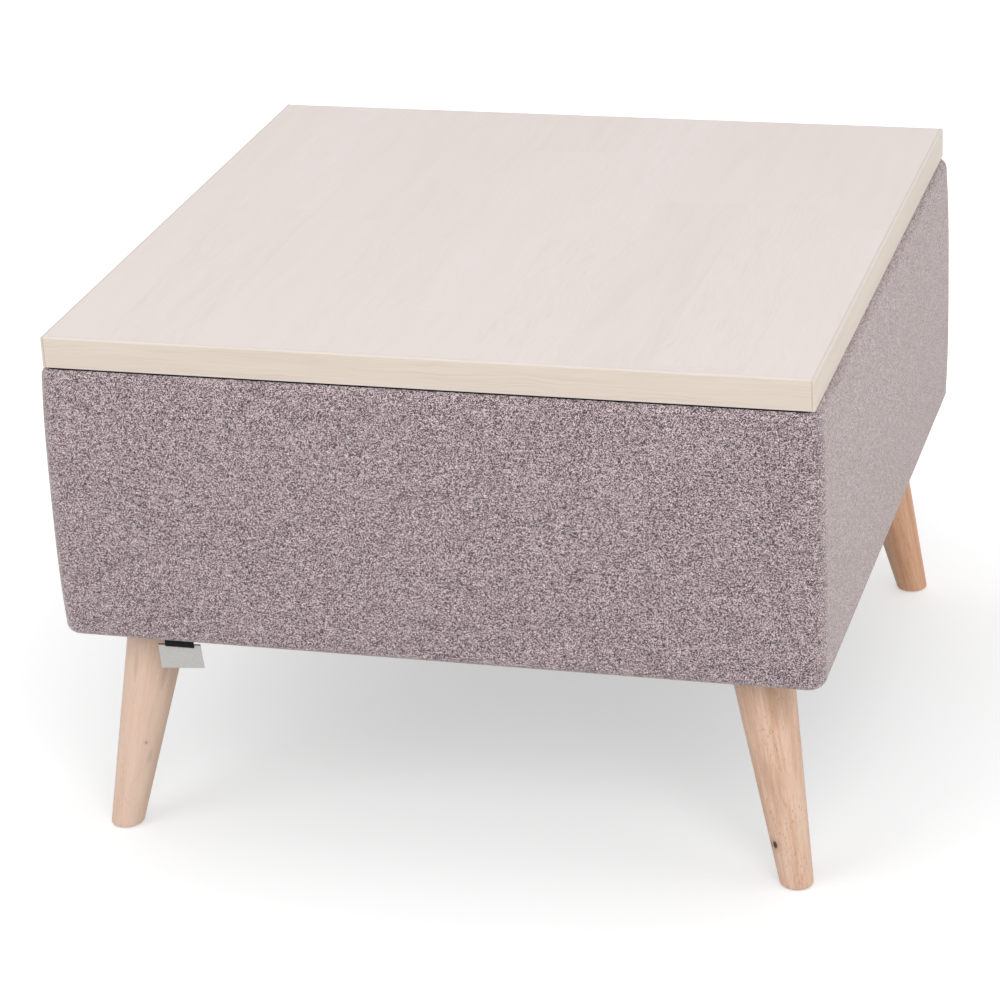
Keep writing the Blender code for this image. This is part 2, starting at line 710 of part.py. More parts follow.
# Local X of the tape points forward from the inner end of its tuck
TAPE_OUTLINE = [
    (0, TAPE_TOP - TAPE_THICKNESS),
    (TAPE_TUCK - TAPE_THICKNESS, TAPE_TOP - TAPE_THICKNESS),
    (TAPE_TUCK - TAPE_THICKNESS, TAPE_TOP - TAPE_DROP),
    (TAPE_TUCK, TAPE_TOP - TAPE_DROP),
    (TAPE_TUCK, TAPE_TOP),
    (0, TAPE_TOP),
]
add_piece(
    "label_tape",
    prism_mesh("label_tape", TAPE_OUTLINE, -TAPE_WIDTH / 2, TAPE_WIDTH / 2),
    TAPE_CLOTH,
    axes_place(Vector((LABEL_X, TAPE_TUCK - FLAT_HALF.y, 0)), FORWARD, UP),
)

LABEL_TOP = TAPE_TOP - TAPE_DROP + LABEL_OVERLAP
LABEL_FRONT = TAPE_THICKNESS + GAP - FLAT_HALF.y
add_piece(
    "label",
    prism_mesh(
        "label",
        rounded_rectangle(LABEL_WIDTH / 2, LABEL_HEIGHT / 2, LABEL_CORNER_RADIUS),
        -LABEL_THICKNESS,
        0,
    ),
    LABEL_CLOTH,
    axes_place(Vector((LABEL_X, LABEL_FRONT, LABEL_TOP - LABEL_HEIGHT / 2)), Vector((1, 0, 0)), UP),
)
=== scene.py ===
"""The looks of a square coffee table: a laminated top on a padded fabric box with four splayed legs.

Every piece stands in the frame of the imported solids: metres, +Z up, the floor at 0, the front towards -Y.
"""

import math

import bmesh
import bpy
import numpy as np
from mathutils import Matrix, Vector


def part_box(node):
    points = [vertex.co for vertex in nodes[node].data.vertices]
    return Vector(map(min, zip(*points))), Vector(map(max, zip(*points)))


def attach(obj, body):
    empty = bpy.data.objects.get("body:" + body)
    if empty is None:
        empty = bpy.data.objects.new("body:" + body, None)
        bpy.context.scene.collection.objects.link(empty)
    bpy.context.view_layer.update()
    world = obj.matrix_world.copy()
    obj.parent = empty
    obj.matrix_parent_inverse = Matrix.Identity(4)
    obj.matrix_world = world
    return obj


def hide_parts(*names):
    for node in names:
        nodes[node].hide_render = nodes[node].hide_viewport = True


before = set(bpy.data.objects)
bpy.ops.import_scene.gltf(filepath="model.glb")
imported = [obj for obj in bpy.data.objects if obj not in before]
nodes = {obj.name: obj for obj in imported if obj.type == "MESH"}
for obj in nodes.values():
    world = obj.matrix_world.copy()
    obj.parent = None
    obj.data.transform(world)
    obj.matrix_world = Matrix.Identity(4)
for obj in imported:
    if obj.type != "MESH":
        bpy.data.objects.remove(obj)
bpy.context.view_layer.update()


# Carcass boards: the deck, the base and the four sides of the box. They are raw chipboard, pressed from
# flakes of wood, sawn to size and screwed together. The padding hides them.

class Finish:
    """A node material in the making. Most methods add a node and return the socket that others read."""

    def __init__(self, name, constants):
        self.material = bpy.data.materials.new(name)
        self.material.use_nodes = True
        self.tree = self.material.node_tree
        self.shader = self.tree.nodes["Principled BSDF"]
        self.put(constants)

    def feed(self, socket, value):
        """Link a socket to another one, or set it to a plain value."""
        if isinstance(value, bpy.types.NodeSocket):
            self.tree.links.new(value, socket)
        else:
            socket.default_value = value

    def put(self, values):
        """Set or link the shader's own sockets."""
        for name, value in values.items():
            self.feed(self.shader.inputs[name], value)

    def node(self, kind, inputs, output=0, **settings):
        """Add a node of a kind, with its settings and inputs, and return one of its outputs."""
        made = self.tree.nodes.new("ShaderNode" + kind)
        for name, value in settings.items():
            setattr(made, name, value)
        for key, value in inputs.items():
            self.feed(made.inputs[key], value)
        return made.outputs[output]

    def place(self, size, source=None, turn=(0, 0, 0), shift=(0, 0, 0)):
        """Object coordinates, or another vector, shifted, turned and counted in steps of a size."""
        if source is None:
            source = self.node("TexCoord", {}, "Object")
        inputs = {"Vector": source, "Location": shift, "Rotation": turn, "Scale": size}
        return self.node("Mapping", inputs, vector_type="TEXTURE")

    def noise(self, vector, detail):
        """Cloudy noise about 0.5, with features one step in size."""
        return self.node("TexNoise", {"Vector": vector, "Scale": 1.0, "Detail": detail}, "Fac")

    def chance(self, vector, output="Value"):
        """A random number or colour for each place on a flat lattice."""
        return self.node("TexWhiteNoise", {"Vector": vector}, output, noise_dimensions="2D")

    def math(self, operation, first, second=0.0):
        """Work out one number from two."""
        return self.node("Math", {0: first, 1: second}, operation=operation)

    def weigh(self, *shares):
        """The sum of some values, each times its own share."""
        parts = [self.math("MULTIPLY", value, share) for value, share in shares]
        total = parts[0]
        for part in parts[1:]:
            total = self.math("ADD", total, part)
        return total

    def vector(self, operation, first, second=(0, 0, 0)):
        """Work out one vector from two."""
        return self.node("VectorMath", {0: first, 1: second}, operation=operation)

    def spread(self, value, low, high, to_low=0.0, to_high=1.0):
        """Map a range of values smoothly to another range, and hold it beyond."""
        inputs = {"Value": value, "From Min": low, "From Max": high, "To Min": to_low, "To Max": to_high}
        return self.node("MapRange", inputs, "Result", interpolation_type="SMOOTHSTEP")

    def mix(self, factor, first, second):
        """Mix two colours."""
        return self.node("Mix", {0: factor, 6: first, 7: second}, 2, data_type="RGBA")

    def ramp(self, value, *stops):
        """Colour a value by stops of place and colour, in rising order."""
        made = self.tree.nodes.new("ShaderNodeValToRGB")
        self.feed(made.inputs[0], value)
        elements = made.color_ramp.elements
        for place, color in stops[1:-1]:
            elements.new(place).color = (*color, 1.0)
        for element, (place, color) in ((elements[0], stops[0]), (elements[-1], stops[-1])):
            element.position = place
            element.color = (*color, 1.0)
        return made.outputs["Color"]

    def bump(self, height, depth, strength=1.0):
        """Turn a height from 0 to 1 into a normal, as if it were a depth in metres."""
        return self.node("Bump", {"Height": height, "Distance": depth, "Strength": strength}, "Normal")


def dress(names, finish):
    """Give CAD nodes, in view or hidden inside, a node material."""
    for name in names:
        nodes[name].data.materials.clear()
        nodes[name].data.materials.append(finish.material)


SIDE_NAMES = ("front", "back", "left", "right")
CORNERS = (("front_left", -1, -1), ("front_right", 1, -1), ("back_right", 1, 1), ("back_left", -1, 1))

FLAKE_SIZE = (0.0045, 0.0045, 0.0022)
CHIPBOARD_SHADES = ((0.1, (0.26, 0.16, 0.08)), (0.5, (0.52, 0.38, 0.22)), (0.9, (0.70, 0.56, 0.37)))
chipboard = Finish("raw_chipboard", {"Roughness": 0.88})
flake = chipboard.node("TexVoronoi", {"Vector": chipboard.place(FLAKE_SIZE), "Scale": 1.0}, "Color")
flake_tone = chipboard.node("SeparateColor", {"Color": flake}, "Red")
dust_tone = chipboard.noise(chipboard.place((0.0008, 0.0008, 0.0008)), 4.0)
board_tone = chipboard.weigh((flake_tone, 0.65), (dust_tone, 0.35))
chipboard.put({
    "Base Color": chipboard.ramp(board_tone, *CHIPBOARD_SHADES),
    "Normal": chipboard.bump(board_tone, 0.0004, 0.7),
})
dress(["deck_panel", "base_panel", *(f"side_panel_{side}" for side in SIDE_NAMES)], chipboard)


# Corner blocks: lengths of sawn softwood, glued into the corners of the box so that its sides stay square.
# Their faces are left as the saw leaves them.

SOFTWOOD_SHADES = ((0.3, (0.50, 0.31, 0.14)), (0.52, (0.68, 0.49, 0.28)), (0.7, (0.76, 0.60, 0.38)))
softwood = Finish("sawn_softwood", {"Roughness": 0.8})
ring_tone = softwood.noise(softwood.place((0.004, 0.012, 0.16)), 3.0)
fibre_tone = softwood.noise(softwood.place((0.0005, 0.0005, 0.012)), 3.0)
softwood_tone = softwood.weigh((ring_tone, 0.7), (fibre_tone, 0.3))
softwood.put({
    "Base Color": softwood.ramp(softwood_tone, *SOFTWOOD_SHADES),
    "Normal": softwood.bump(fibre_tone, 0.0003),
})
dress([f"corner_block_{corner}" for corner, _, _ in CORNERS], softwood)


# Screws, insert nuts and leg bolts: zinc plated steel. The screws pull the boards together, and each leg's
# bolt turns into a nut that is pressed into the base.

steel = Finish("zinc_plated_steel", {"Metallic": 1.0})
plating = steel.noise(steel.place((0.003, 0.003, 0.003)), 4.0)
steel.put({
    "Base Color": steel.ramp(plating, (0.3, (0.50, 0.50, 0.49)), (0.7, (0.70, 0.70, 0.67))),
    "Roughness": steel.spread(plating, 0.3, 0.7, 0.28, 0.46),
    "Normal": steel.bump(plating, 0.00005),
})
dress([name for name in nodes if "screw" in name or "bolt" in name or "nut" in name], steel)


# Foam: a 12 mm wrap of open-cell upholstery foam, glued round the four sides of the box. It gives the box
# its soft rounded edges and sides that swell a little.

UPPER_EDGE = 0.008
LOWER_EDGE = 0.008
CORNER_RADIUS = 0.014
INNER_CORNER_RADIUS = 0.002
FACE_CROWN = 0.0035
CORNER_CROWN = 0.002
BOW_EASE = 0.008
FOAM_UNDER_COVER = 0.0015
FOAM_GAP = 0.0003
cover_low, cover_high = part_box("fabric_cover")
foam_low, foam_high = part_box("foam_wrap")
COVER_HALF = cover_high.x - FACE_CROWN


def grid_mesh(name, points, ring=False, loop=False, uv=None):
    """Turn one grid of points, or a stack of like grids, into quads between each four neighbours.

    ring joins the last column to the first and loop the last row to the first. uv has one more row or
    column where the grid closes.
    """
    rows, columns = points.shape[-3:-1]
    index = np.arange(points.size // 3).reshape(-1, rows, columns)
    if loop:
        index = np.concatenate([index, index[:, :1]], axis=1)
    if ring:
        index = np.concatenate([index, index[:, :, :1]], axis=2)
    quads = np.stack([index[:, :-1, :-1], index[:, :-1, 1:], index[:, 1:, 1:], index[:, 1:, :-1]], axis=-1)
    mesh = bpy.data.meshes.new(name)
    mesh.vertices.add(points.size // 3)
    mesh.vertices.foreach_set("co", points.astype(np.float32).ravel())
    mesh.loops.add(quads.size)
    mesh.loops.foreach_set("vertex_index", quads.astype(np.int32).ravel())
    mesh.polygons.add(quads.size // 4)
    mesh.polygons.foreach_set("loop_start", np.arange(0, quads.size, 4, dtype=np.int32))
    mesh.update(calc_edges=True)
    if uv is not None:
        corners = np.stack([uv[:-1, :-1], uv[:-1, 1:], uv[1:, 1:], uv[1:, :-1]], axis=-2)
        mesh.uv_layers.new(name="length").data.foreach_set("uv", corners.astype(np.float32).ravel())
    return mesh


def make_piece(name, points, finish, ring=False, loop=False, uv=None, crease=None):
    """Make a piece of a grid of points. Points that fall together, as at a pole, are merged."""
    mesh = grid_mesh(name, points, ring, loop, uv)
    shape = bmesh.new()
    shape.from_mesh(mesh)
    bmesh.ops.remove_doubles(shape, verts=shape.verts, dist=0.000001)
    bmesh.ops.recalc_face_normals(shape, faces=shape.faces)
    shape.to_mesh(mesh)
    shape.free()
    mesh.shade_smooth()
    if crease is not None:
        mesh.set_sharp_from_angle(angle=math.radians(crease))
    mesh.materials.append(finish.material)
    piece = bpy.data.objects.new(name, mesh)
    bpy.context.scene.collection.objects.link(piece)
    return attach(piece, "root")


def bow_at(height):
    """How far a side has bowed out at a height, from 0 to 1.

    It is one minus the cube of the distance from the middle of the side, averaged over a few millimetres
    so that it starts softly out of the rounded edges.
    """
    low = cover_low.z + LOWER_EDGE
    high = cover_high.z - UPPER_EDGE
    around = height[:, None] + np.linspace(-BOW_EASE, BOW_EASE, 9)
    share = np.clip((around - low) / (high - low), 0, 1)
    return (1 - np.abs(2 * share - 1) ** 3).mean(axis=1)


def side_profile(offset, edge_steps, side_steps):
    """The inset and height of the padded side, an offset inside the cover, from bottom to top.

    A quarter round at the lower edge and one at the upper edge join a straight side.
    """
    turn = np.linspace(0, math.pi / 2, edge_steps + 1)
    share = np.linspace(0, 1, side_steps + 1)[1:-1]
    low = cover_low.z + LOWER_EDGE
    high = cover_high.z - UPPER_EDGE
    lower = LOWER_EDGE - offset
    upper = UPPER_EDGE - offset
    inset = np.concatenate([
        LOWER_EDGE - lower * np.sin(turn),
        np.full(share.size, offset),
        UPPER_EDGE - upper * np.cos(turn),
    ])
    height = np.concatenate([
        low - lower * np.cos(turn),
        low + share * (high - low),
        high + upper * np.sin(turn),
    ])
    return inset, height


def box_outline(face_steps, corner_steps):
    """What the outline of a rounded square is made of: three lists of flat vectors.

    A point is reach times the first, radius times the second and swell times the third. The first leads to
    a corner's centre, or to a place between two, the second points outwards, and the third does so on the
    sides only, by one minus the square of the distance from the side's middle.
    """
    turn = np.linspace(0, math.pi / 2, corner_steps + 1)
    share = np.linspace(1, -1, face_steps + 1)[1:-1]
    round_out = np.stack([np.cos(turn), np.sin(turn)], 1)
    corner = np.stack([np.ones((turn.size, 2)), round_out, np.zeros((turn.size, 2))])
    out = np.stack([np.zeros(share.size), np.ones(share.size)], 1)
    side = np.stack([np.stack([share, np.ones(share.size)], 1), out, out * (1 - share**2)[:, None]])
    quarter = np.concatenate([corner, side], axis=1)
    quarter_turn = np.array([[0, 1], [-1, 0]])
    quarters = [quarter @ np.linalg.matrix_power(quarter_turn, step) for step in range(4)]
    return np.concatenate(quarters, axis=1)


def padded_points(inset, height, bow, outline, crown):
    """The points of a padded surface: one rounded square for each level, its sides bowed out.

    The corners move out by bow times the corner crown, the middle of a side by bow times the crown.
    """
    radius = np.maximum(CORNER_RADIUS - inset, INNER_CORNER_RADIUS)
    reach = COVER_HALF - inset + CORNER_CROWN * bow - radius
    swell = (crown - CORNER_CROWN) * bow
    shares = np.stack([reach, radius, swell])
    flat = np.einsum("sl,skx->lkx", shares, outline)
    return np.dstack([flat, np.broadcast_to(height[:, None], flat.shape[:2])])


foam = Finish("upholstery_foam", {"Roughness": 0.95})
cell = foam.node("TexVoronoi", {"Vector": foam.place((0.0012, 0.0012, 0.0012)), "Scale": 1.0}, "Distance")
foam_age = foam.noise(foam.place((0.06, 0.06, 0.06)), 3.0)
foam_color = foam.ramp(foam_age, (0.3, (0.78, 0.70, 0.48)), (0.7, (0.86, 0.80, 0.62)))
foam.put({
    "Base Color": foam.mix(cell, foam_color, (0.45, 0.38, 0.24, 1)),
    "Normal": foam.bump(cell, 0.0006),
})

foam_inset, foam_height = side_profile(FOAM_UNDER_COVER, 5, 16)
foam_bow = bow_at(foam_height)
deck_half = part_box("deck_panel")[1].x
foam_inset = np.append(foam_inset, np.full(2, COVER_HALF - deck_half - FOAM_GAP))
foam_height = np.append(foam_height, [foam_high.z, foam_low.z])
foam_bow = np.append(foam_bow, np.zeros(2))
foam_points = padded_points(foam_inset, foam_height, foam_bow, box_outline(24, 5), CORNER_CROWN)
foam_wrap = make_piece("foam_padding", foam_points, foam, ring=True, loop=True, crease=60)
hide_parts("foam_wrap")


# Fabric cover: one strip of melange upholstery cloth, drawn round the foam and folded over the top and the
# bottom of the box, where it is stapled. Dark and pale yarns are woven together into a mauve grey with a few
# dark slubs.

CLOTH_THICKNESS = 0.0012
HEM_WIDTH = 0.020
YARN_PITCH = (0.00060, 0.00058, 1.0)
YARN_STRETCH = (0.0080, 0.0080, 1.0)
STRETCH_SLIDE = 37.0
WOBBLE = 0.0003
WOBBLE_SIZE = 0.008
PAINTED_GROOVE_SHADE = (0.05, 0.035, 0.04, 1)
YARN_RELIEF = 0.0004
BACK_FROM = 0.28
SEAM_WIDTH = (0.0002, 0.0016)
PAINTED_SHADE_DEPTH = (0.0005, 0.0008)
CLOTH_PRESSURE = 0.1
CLOTH_TENSION = 400.0
CLOTH_STEPS = 20
SWELL_LIMIT = 0.0025
RING_STRIDE = 4
ROUND_ROW = 30
OVER_COLUMN = 60
YARN_SHADES = (
    (0.19, (0.026, 0.005, 0.008)),
    (0.35, (0.118, 0.068, 0.077)),
    (0.50, (0.305, 0.220, 0.234)),
    (0.66, (0.555, 0.441, 0.460)),
    (0.82, (0.862, 0.732, 0.755)),
)
SLUB_PITCH = (0.0012, 0.00095, 1.0)
SLUB_START = (0.31, 0.17, 0.0)
SLUB_SHARE = 0.06
SLUB_COLOR = (0.020, 0.006, 0.009, 1)
WORN_COLOR = (0.62, 0.52, 0.54, 1)

weave = Finish("melange_weave", {"Roughness": 0.45, "Sheen Weight": 0.6, "Sheen Roughness": 0.4})
weave.put({"Sheen Tint": (1.0, 0.86, 0.80, 1), "Specular IOR Level": 0.6})
cloth_place = weave.node("UVMap", {}, uv_map="length")
drift_inputs = {"Vector": weave.place((WOBBLE_SIZE,) * 3), "Scale": 1.0, "Detail": 2.0}
drift = weave.vector("SUBTRACT", weave.node("TexNoise", drift_inputs, "Color"), (0.5, 0.5, 0.5))
drift = weave.node("VectorMath", {0: drift, "Scale": WOBBLE * 2}, operation="SCALE")
yarn_place = weave.vector("ADD", cloth_place, drift)
yarn_count = weave.place(YARN_PITCH, yarn_place)
yarn = weave.vector("FLOOR", yarn_count)
within = weave.vector("FRACTION", yarn_count)


def part_of(finish, vector, axis):
    """One component of a vector."""
    return finish.node("SeparateXYZ", {0: vector}, axis)


def yarn_tone(finish, number, along, salt):
    """A random tone for each stretch of each yarn: stretches start at another place on every yarn."""
    own_number = finish.math("ADD", number, salt)
    start = finish.node("TexWhiteNoise", {"W": own_number}, "Value", noise_dimensions="1D")
    slide = finish.math("MULTIPLY", start, STRETCH_SLIDE)
    stretch = finish.math("FLOOR", finish.math("ADD", along, slide))
    spot = finish.node("CombineXYZ", {0: number, 1: stretch, 2: salt})
    return finish.node("TexWhiteNoise", {"Vector": spot}, "Value", noise_dimensions="3D")


def arch(finish, share):
    """A round yarn across its width: one minus the square of the distance from its middle."""
    from_middle = finish.math("SUBTRACT", finish.math("MULTIPLY", share, 2.0), 1.0)
    return finish.math("SUBTRACT", 1.0, finish.math("MULTIPLY", from_middle, from_middle))


stretch_count = weave.place(YARN_STRETCH, yarn_place)
weft_tone = yarn_tone(weave, part_of(weave, yarn, 1), part_of(weave, stretch_count, 0), 3.0)
weft_arch = arch(weave, part_of(weave, within, 1))
warp_arch = arch(weave, part_of(weave, within, 0))
crossing = weave.math("ADD", part_of(weave, yarn, 0), part_of(weave, yarn, 1))
warp_on_top = weave.math("GREATER_THAN", weave.math("FRACT", weave.math("MULTIPLY", crossing, 0.5)), 0.25)
fleck_tone = weave.chance(yarn)
yarn_round = weave.node("Mix", {0: warp_on_top, 2: weft_arch, 3: warp_arch})
fuzz = weave.noise(weave.place((0.0005, 0.0005, 0.0005)), 2.0)
patch = weave.noise(weave.place((0.05, 0.05, 0.05)), 3.0)
tone = weave.weigh((fleck_tone, 0.78), (weft_tone, 0.14), (fuzz, 0.08))
# Between the yarns the colour darkens towards the groove colour: painted shade in the gaps between them.
shaded = weave.mix(weave.spread(yarn_round, 0.0, 0.8, 0.20, 0.0), weave.ramp(tone, *YARN_SHADES), PAINTED_GROOVE_SHADE)
slub_chance = weave.chance(weave.vector("FLOOR", weave.place(SLUB_PITCH, yarn_place, shift=SLUB_START)))
shaded = weave.mix(weave.math("LESS_THAN", slub_chance, SLUB_SHARE), shaded, SLUB_COLOR)
worn = weave.mix(weave.spread(patch, 0.3, 0.7, 0.0, 0.04), shaded, WORN_COLOR)

# The seam that closes the strip runs down the middle of the back
spot = weave.place((1, 1, 1))
from_seam = weave.math("ABSOLUTE", part_of(weave, spot, 0))
at_back = weave.math("GREATER_THAN", part_of(weave, spot, 1), BACK_FROM)
seam = weave.math("MULTIPLY", weave.spread(from_seam, *SEAM_WIDTH, 1.0, 0.0), at_back)
yarn_height = weave.weigh((yarn_round, 0.25), (fuzz, 0.15), (seam, -1.5))
# The seam's line darkens towards the groove colour: painted shade in its groove.
weave.put({
    "Base Color": weave.mix(weave.math("MULTIPLY", seam, 0.7), worn, PAINTED_GROOVE_SHADE),
    "Normal": weave.bump(yarn_height, YARN_RELIEF),
})

# Black ribbed tape: the loop that holds the label, and also the black laid on the cover just under the top
# board as painted shade.
tape_and_painted_shade = Finish("black_tape_and_painted_shade", {"Roughness": 0.9, "Specular IOR Level": 0.25})
tape_place = tape_and_painted_shade.node("UVMap", {}, uv_map="length")
rib_count = tape_and_painted_shade.vector("FRACTION", tape_and_painted_shade.place((0.0009, 0.0004, 1), tape_place))
lint = tape_and_painted_shade.noise(tape_and_painted_shade.place((0.0006, 0.0006, 0.0006)), 3.0)
tape_and_painted_shade.put({
    "Base Color": tape_and_painted_shade.ramp(lint, (0.3, (0.004, 0.004, 0.005)), (0.7, (0.012, 0.012, 0.013))),
    "Normal": tape_and_painted_shade.bump(arch(tape_and_painted_shade, part_of(tape_and_painted_shade, rib_count, 0)), 0.0003),
})


def settle_cloth(points):
    """Where a ring of cloth comes to rest when the foam pushes it outwards between its two held edges.

    The cloth solver moves it in short steps, under a steady pressure and without gravity.
    """
    rows, columns = points.shape[:2]
    scene = bpy.context.scene
    ring = bpy.data.objects.new("cloth_ring", grid_mesh("cloth_ring", points, ring=True))
    scene.collection.objects.link(ring)
    held = ring.vertex_groups.new(name="held")
    held.add([*range(columns * 2), *range((rows - 2) * columns, rows * columns)], 1.0, "REPLACE")
    cloth = ring.modifiers.new("cloth", "CLOTH")
    cloth.settings.vertex_group_mass = "held"
    cloth.settings.quality = 8
    cloth.settings.tension_stiffness = CLOTH_TENSION
    cloth.settings.compression_stiffness = CLOTH_TENSION
    cloth.settings.shear_stiffness = CLOTH_TENSION / 4
    cloth.settings.use_pressure = True
    cloth.settings.uniform_pressure_force = CLOTH_PRESSURE
    cloth.settings.effector_weights.gravity = 0.0
    cloth.collision_settings.use_collision = False
    for step in range(1, CLOTH_STEPS + 1):
        scene.frame_set(step)
    settled = ring.evaluated_get(bpy.context.evaluated_depsgraph_get()).to_mesh()
    rest = np.empty(points.size, np.float32)
    settled.vertices.foreach_get("co", rest)
    bpy.data.objects.remove(ring)
    scene.frame_set(1)
    return rest.reshape(points.shape)


def between(values, places):
    """Values at places between the rows of an array, on straight lines."""
    low = np.minimum(places.astype(int), len(values) - 2)
    share = (places - low).reshape(-1, *[1] * (values.ndim - 1))
    return values[low] * (1 - share) + values[low + 1] * share


cover_inset, cover_height = side_profile(0.0, 14, 44)
lining_inset, lining_height = side_profile(CLOTH_THICKNESS, 5, 22)
hem = np.linspace(HEM_WIDTH, 0, 8)[:-1]
cover_inset = np.concatenate([LOWER_EDGE + hem, cover_inset, UPPER_EDGE + hem[::-1]])
cover_height = np.pad(cover_height, hem.size, constant_values=(cover_low.z, cover_high.z))
lining_inset = np.concatenate([[LOWER_EDGE + HEM_WIDTH], lining_inset, [UPPER_EDGE + HEM_WIDTH]])
lining_low = cover_low.z + CLOTH_THICKNESS
lining_high = cover_high.z - CLOTH_THICKNESS
lining_height = np.concatenate([[lining_low], lining_height, [lining_high]])
cover_inset = np.append(cover_inset, lining_inset[::-1])
cover_height = np.append(cover_height, lining_height[::-1])
cover_bow = bow_at(cover_height)
cover_outline = box_outline(112, 10)
ring_inset, ring_height = side_profile(0.0, 6, 20)
ring_outline = cover_outline[:, ::RING_STRIDE]
ring_start = padded_points(ring_inset, ring_height, bow_at(ring_height), ring_outline, CORNER_CROWN)
swell = ((settle_cloth(ring_start) - ring_start)[:, :, :2] * ring_outline[1]).sum(axis=2)
swell = np.clip(swell, 0, SWELL_LIMIT)
swell = between(swell, np.interp(cover_height, ring_height, np.arange(ring_height.size)))
closed_swell = np.concatenate([swell, swell[:, :1]], axis=1).T
swell = between(closed_swell, np.arange(cover_outline.shape[1]) / RING_STRIDE).T
cover_points = padded_points(cover_inset, cover_height, cover_bow, cover_outline, CORNER_CROWN)
cover_points[:, :, :2] += swell[:, :, None] * cover_outline[1]


def lengths(points):
    """How far along a closed row of points each one lies, with the whole length at the end."""
    steps = np.linalg.norm(np.roll(points, -1, axis=0) - points, axis=1)
    return np.concatenate([[0.0], np.cumsum(steps)])


round_lengths = lengths(cover_points[len(hem) + ROUND_ROW])
over_lengths = lengths(cover_points[:, OVER_COLUMN])
cover_uv = np.dstack(np.meshgrid(round_lengths, over_lengths))
cover = make_piece("padded_cover", cover_points, weave, ring=True, loop=True, uv=cover_uv, crease=60)
# Just under the top board the cover's faces take the black tape finish: painted shade for the dark gap under
# the board's edge, reaching deeper on the front and back than on the left and right.
cover.data.materials.append(tape_and_painted_shade.material)
face_middle = np.empty(len(cover.data.polygons) * 3, np.float32)
cover.data.polygons.foreach_get("center", face_middle)
face_middle = face_middle.reshape(-1, 3)
on_front = np.abs(face_middle[:, 1]) > np.abs(face_middle[:, 0])
painted_shade_under_top = face_middle[:, 2] > cover_high.z - np.where(on_front, PAINTED_SHADE_DEPTH[1], PAINTED_SHADE_DEPTH[0])
cover.data.polygons.foreach_set("material_index", painted_shade_under_top.astype(np.int32))
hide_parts("fabric_cover")


# Dust cover: a square of thin black non-woven cloth, stapled under the base. It hides the boards and the
# staples of the fabric cover, and the legs' bolts pass through it.

DUST_CLOTH_SAG = 0.0015
DUST_CLOTH_DOTS = 0.0016
dust_low, dust_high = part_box("dust_cover")
dust_cloth = Finish("black_non_woven", {"Roughness": 0.8, "Sheen Weight": 0.2, "Sheen Roughness": 0.5})
dot_inputs = {"Vector": dust_cloth.place((DUST_CLOTH_DOTS,) * 3), "Scale": 1.0, "Randomness": 0.15}
dot = dust_cloth.node("TexVoronoi", dot_inputs, "Distance")
fibres = dust_cloth.noise(dust_cloth.place((0.0004, 0.0025, 0.0025), turn=(0, 0, 0.6)), 3.0)
dust_cloth.put({
    "Base Color": dust_cloth.ramp(fibres, (0.3, (0.010, 0.010, 0.011)), (0.7, (0.030, 0.030, 0.032))),
    "Roughness": dust_cloth.spread(dot, 0.1, 0.5, 0.55, 0.85),
    "Normal": dust_cloth.bump(dust_cloth.weigh((dot, 1.0), (fibres, 0.4)), 0.0003),
})

across = np.linspace(-1, 1, 61)
dust_x, dust_y = np.meshgrid(across, across, indexing="ij")
dust_sag = DUST_CLOTH_SAG * (1 - dust_x**2) * (1 - dust_y**2)
dust_middle = (dust_low.z + dust_high.z) / 2
dust_points = np.dstack([dust_x * dust_high.x, dust_y * dust_high.y, dust_middle - dust_sag])
dust_cover = make_piece("dust_cloth", dust_points, dust_cloth)
dust_wall = dust_cover.modifiers.new("thickness", "SOLIDIFY")
dust_wall.thickness = dust_high.z - dust_low.z
dust_wall.offset = 0.0
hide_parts("dust_cover")


# Staples: bent from flat steel wire and shot through the edge of the dust cover into the base, twelve along
# each side. Two narrower ones hold the label's tape.

STAPLE_HALF = 0.005
STAPLE_WIRE = 0.0005
STAPLE_WIDTH = 0.0012
STAPLE_INSET = 0.006
STAPLE_LEG = 0.003
STAPLES_PER_SIDE = 12
TAPE_STAPLE_SIZE = (0.7, 1, 1)
TAPE_STAPLE_SHIFT = 0.006
TAPE_WALL = 0.0008

staple_run = np.array([-1, -1, -0.9, 0.9, 1, 1]) * STAPLE_HALF
staple_drop = np.array([-STAPLE_LEG, 0.0005, 0.0009, 0.0009, 0.0005, -STAPLE_LEG])
outer_run = staple_run + np.array([-1, -1, -0.4, 0.4, 1, 1]) * STAPLE_WIRE
outer_drop = staple_drop + np.array([0, 0.4, 1, 1, 0.4, 0]) * STAPLE_WIRE
run = np.stack([staple_run, staple_run, outer_run, outer_run], 1)
drop = np.stack([staple_drop, staple_drop, outer_drop, outer_drop], 1) - STAPLE_WIRE
width = np.broadcast_to(np.array([-0.5, 0.5, 0.5, -0.5]) * STAPLE_WIDTH, run.shape)
staple = np.dstack([run, width, -drop])
staple_ends = staple[[0, -1]].mean(axis=1, keepdims=True) * np.ones((1, 4, 1))
staple = np.concatenate([staple_ends[:1], staple, staple_ends[1:]])
staple_reach = dust_high.y - STAPLE_INSET
staple_places = np.linspace(-1, 1, STAPLES_PER_SIDE) * (staple_reach - STAPLE_HALF * 4)
front_row = np.tile([0.0, -staple_reach, dust_low.z], (STAPLES_PER_SIDE, 1))
front_row[:, 0] = staple_places
side_staples = staple + front_row[:, None, None]
quarter_turn = np.array([[0, 1, 0], [-1, 0, 0], [0, 0, 1]])
side_staples = [side_staples @ np.linalg.matrix_power(quarter_turn, step) for step in range(4)]
tape_low, tape_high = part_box("label_tape")
tape_middle = (tape_low + tape_high) / 2
tape_row = np.tile([tape_middle.x, tape_middle.y, tape_high.z - TAPE_WALL], (2, 1))
tape_row[:, 0] += (-TAPE_STAPLE_SHIFT, TAPE_STAPLE_SHIFT)
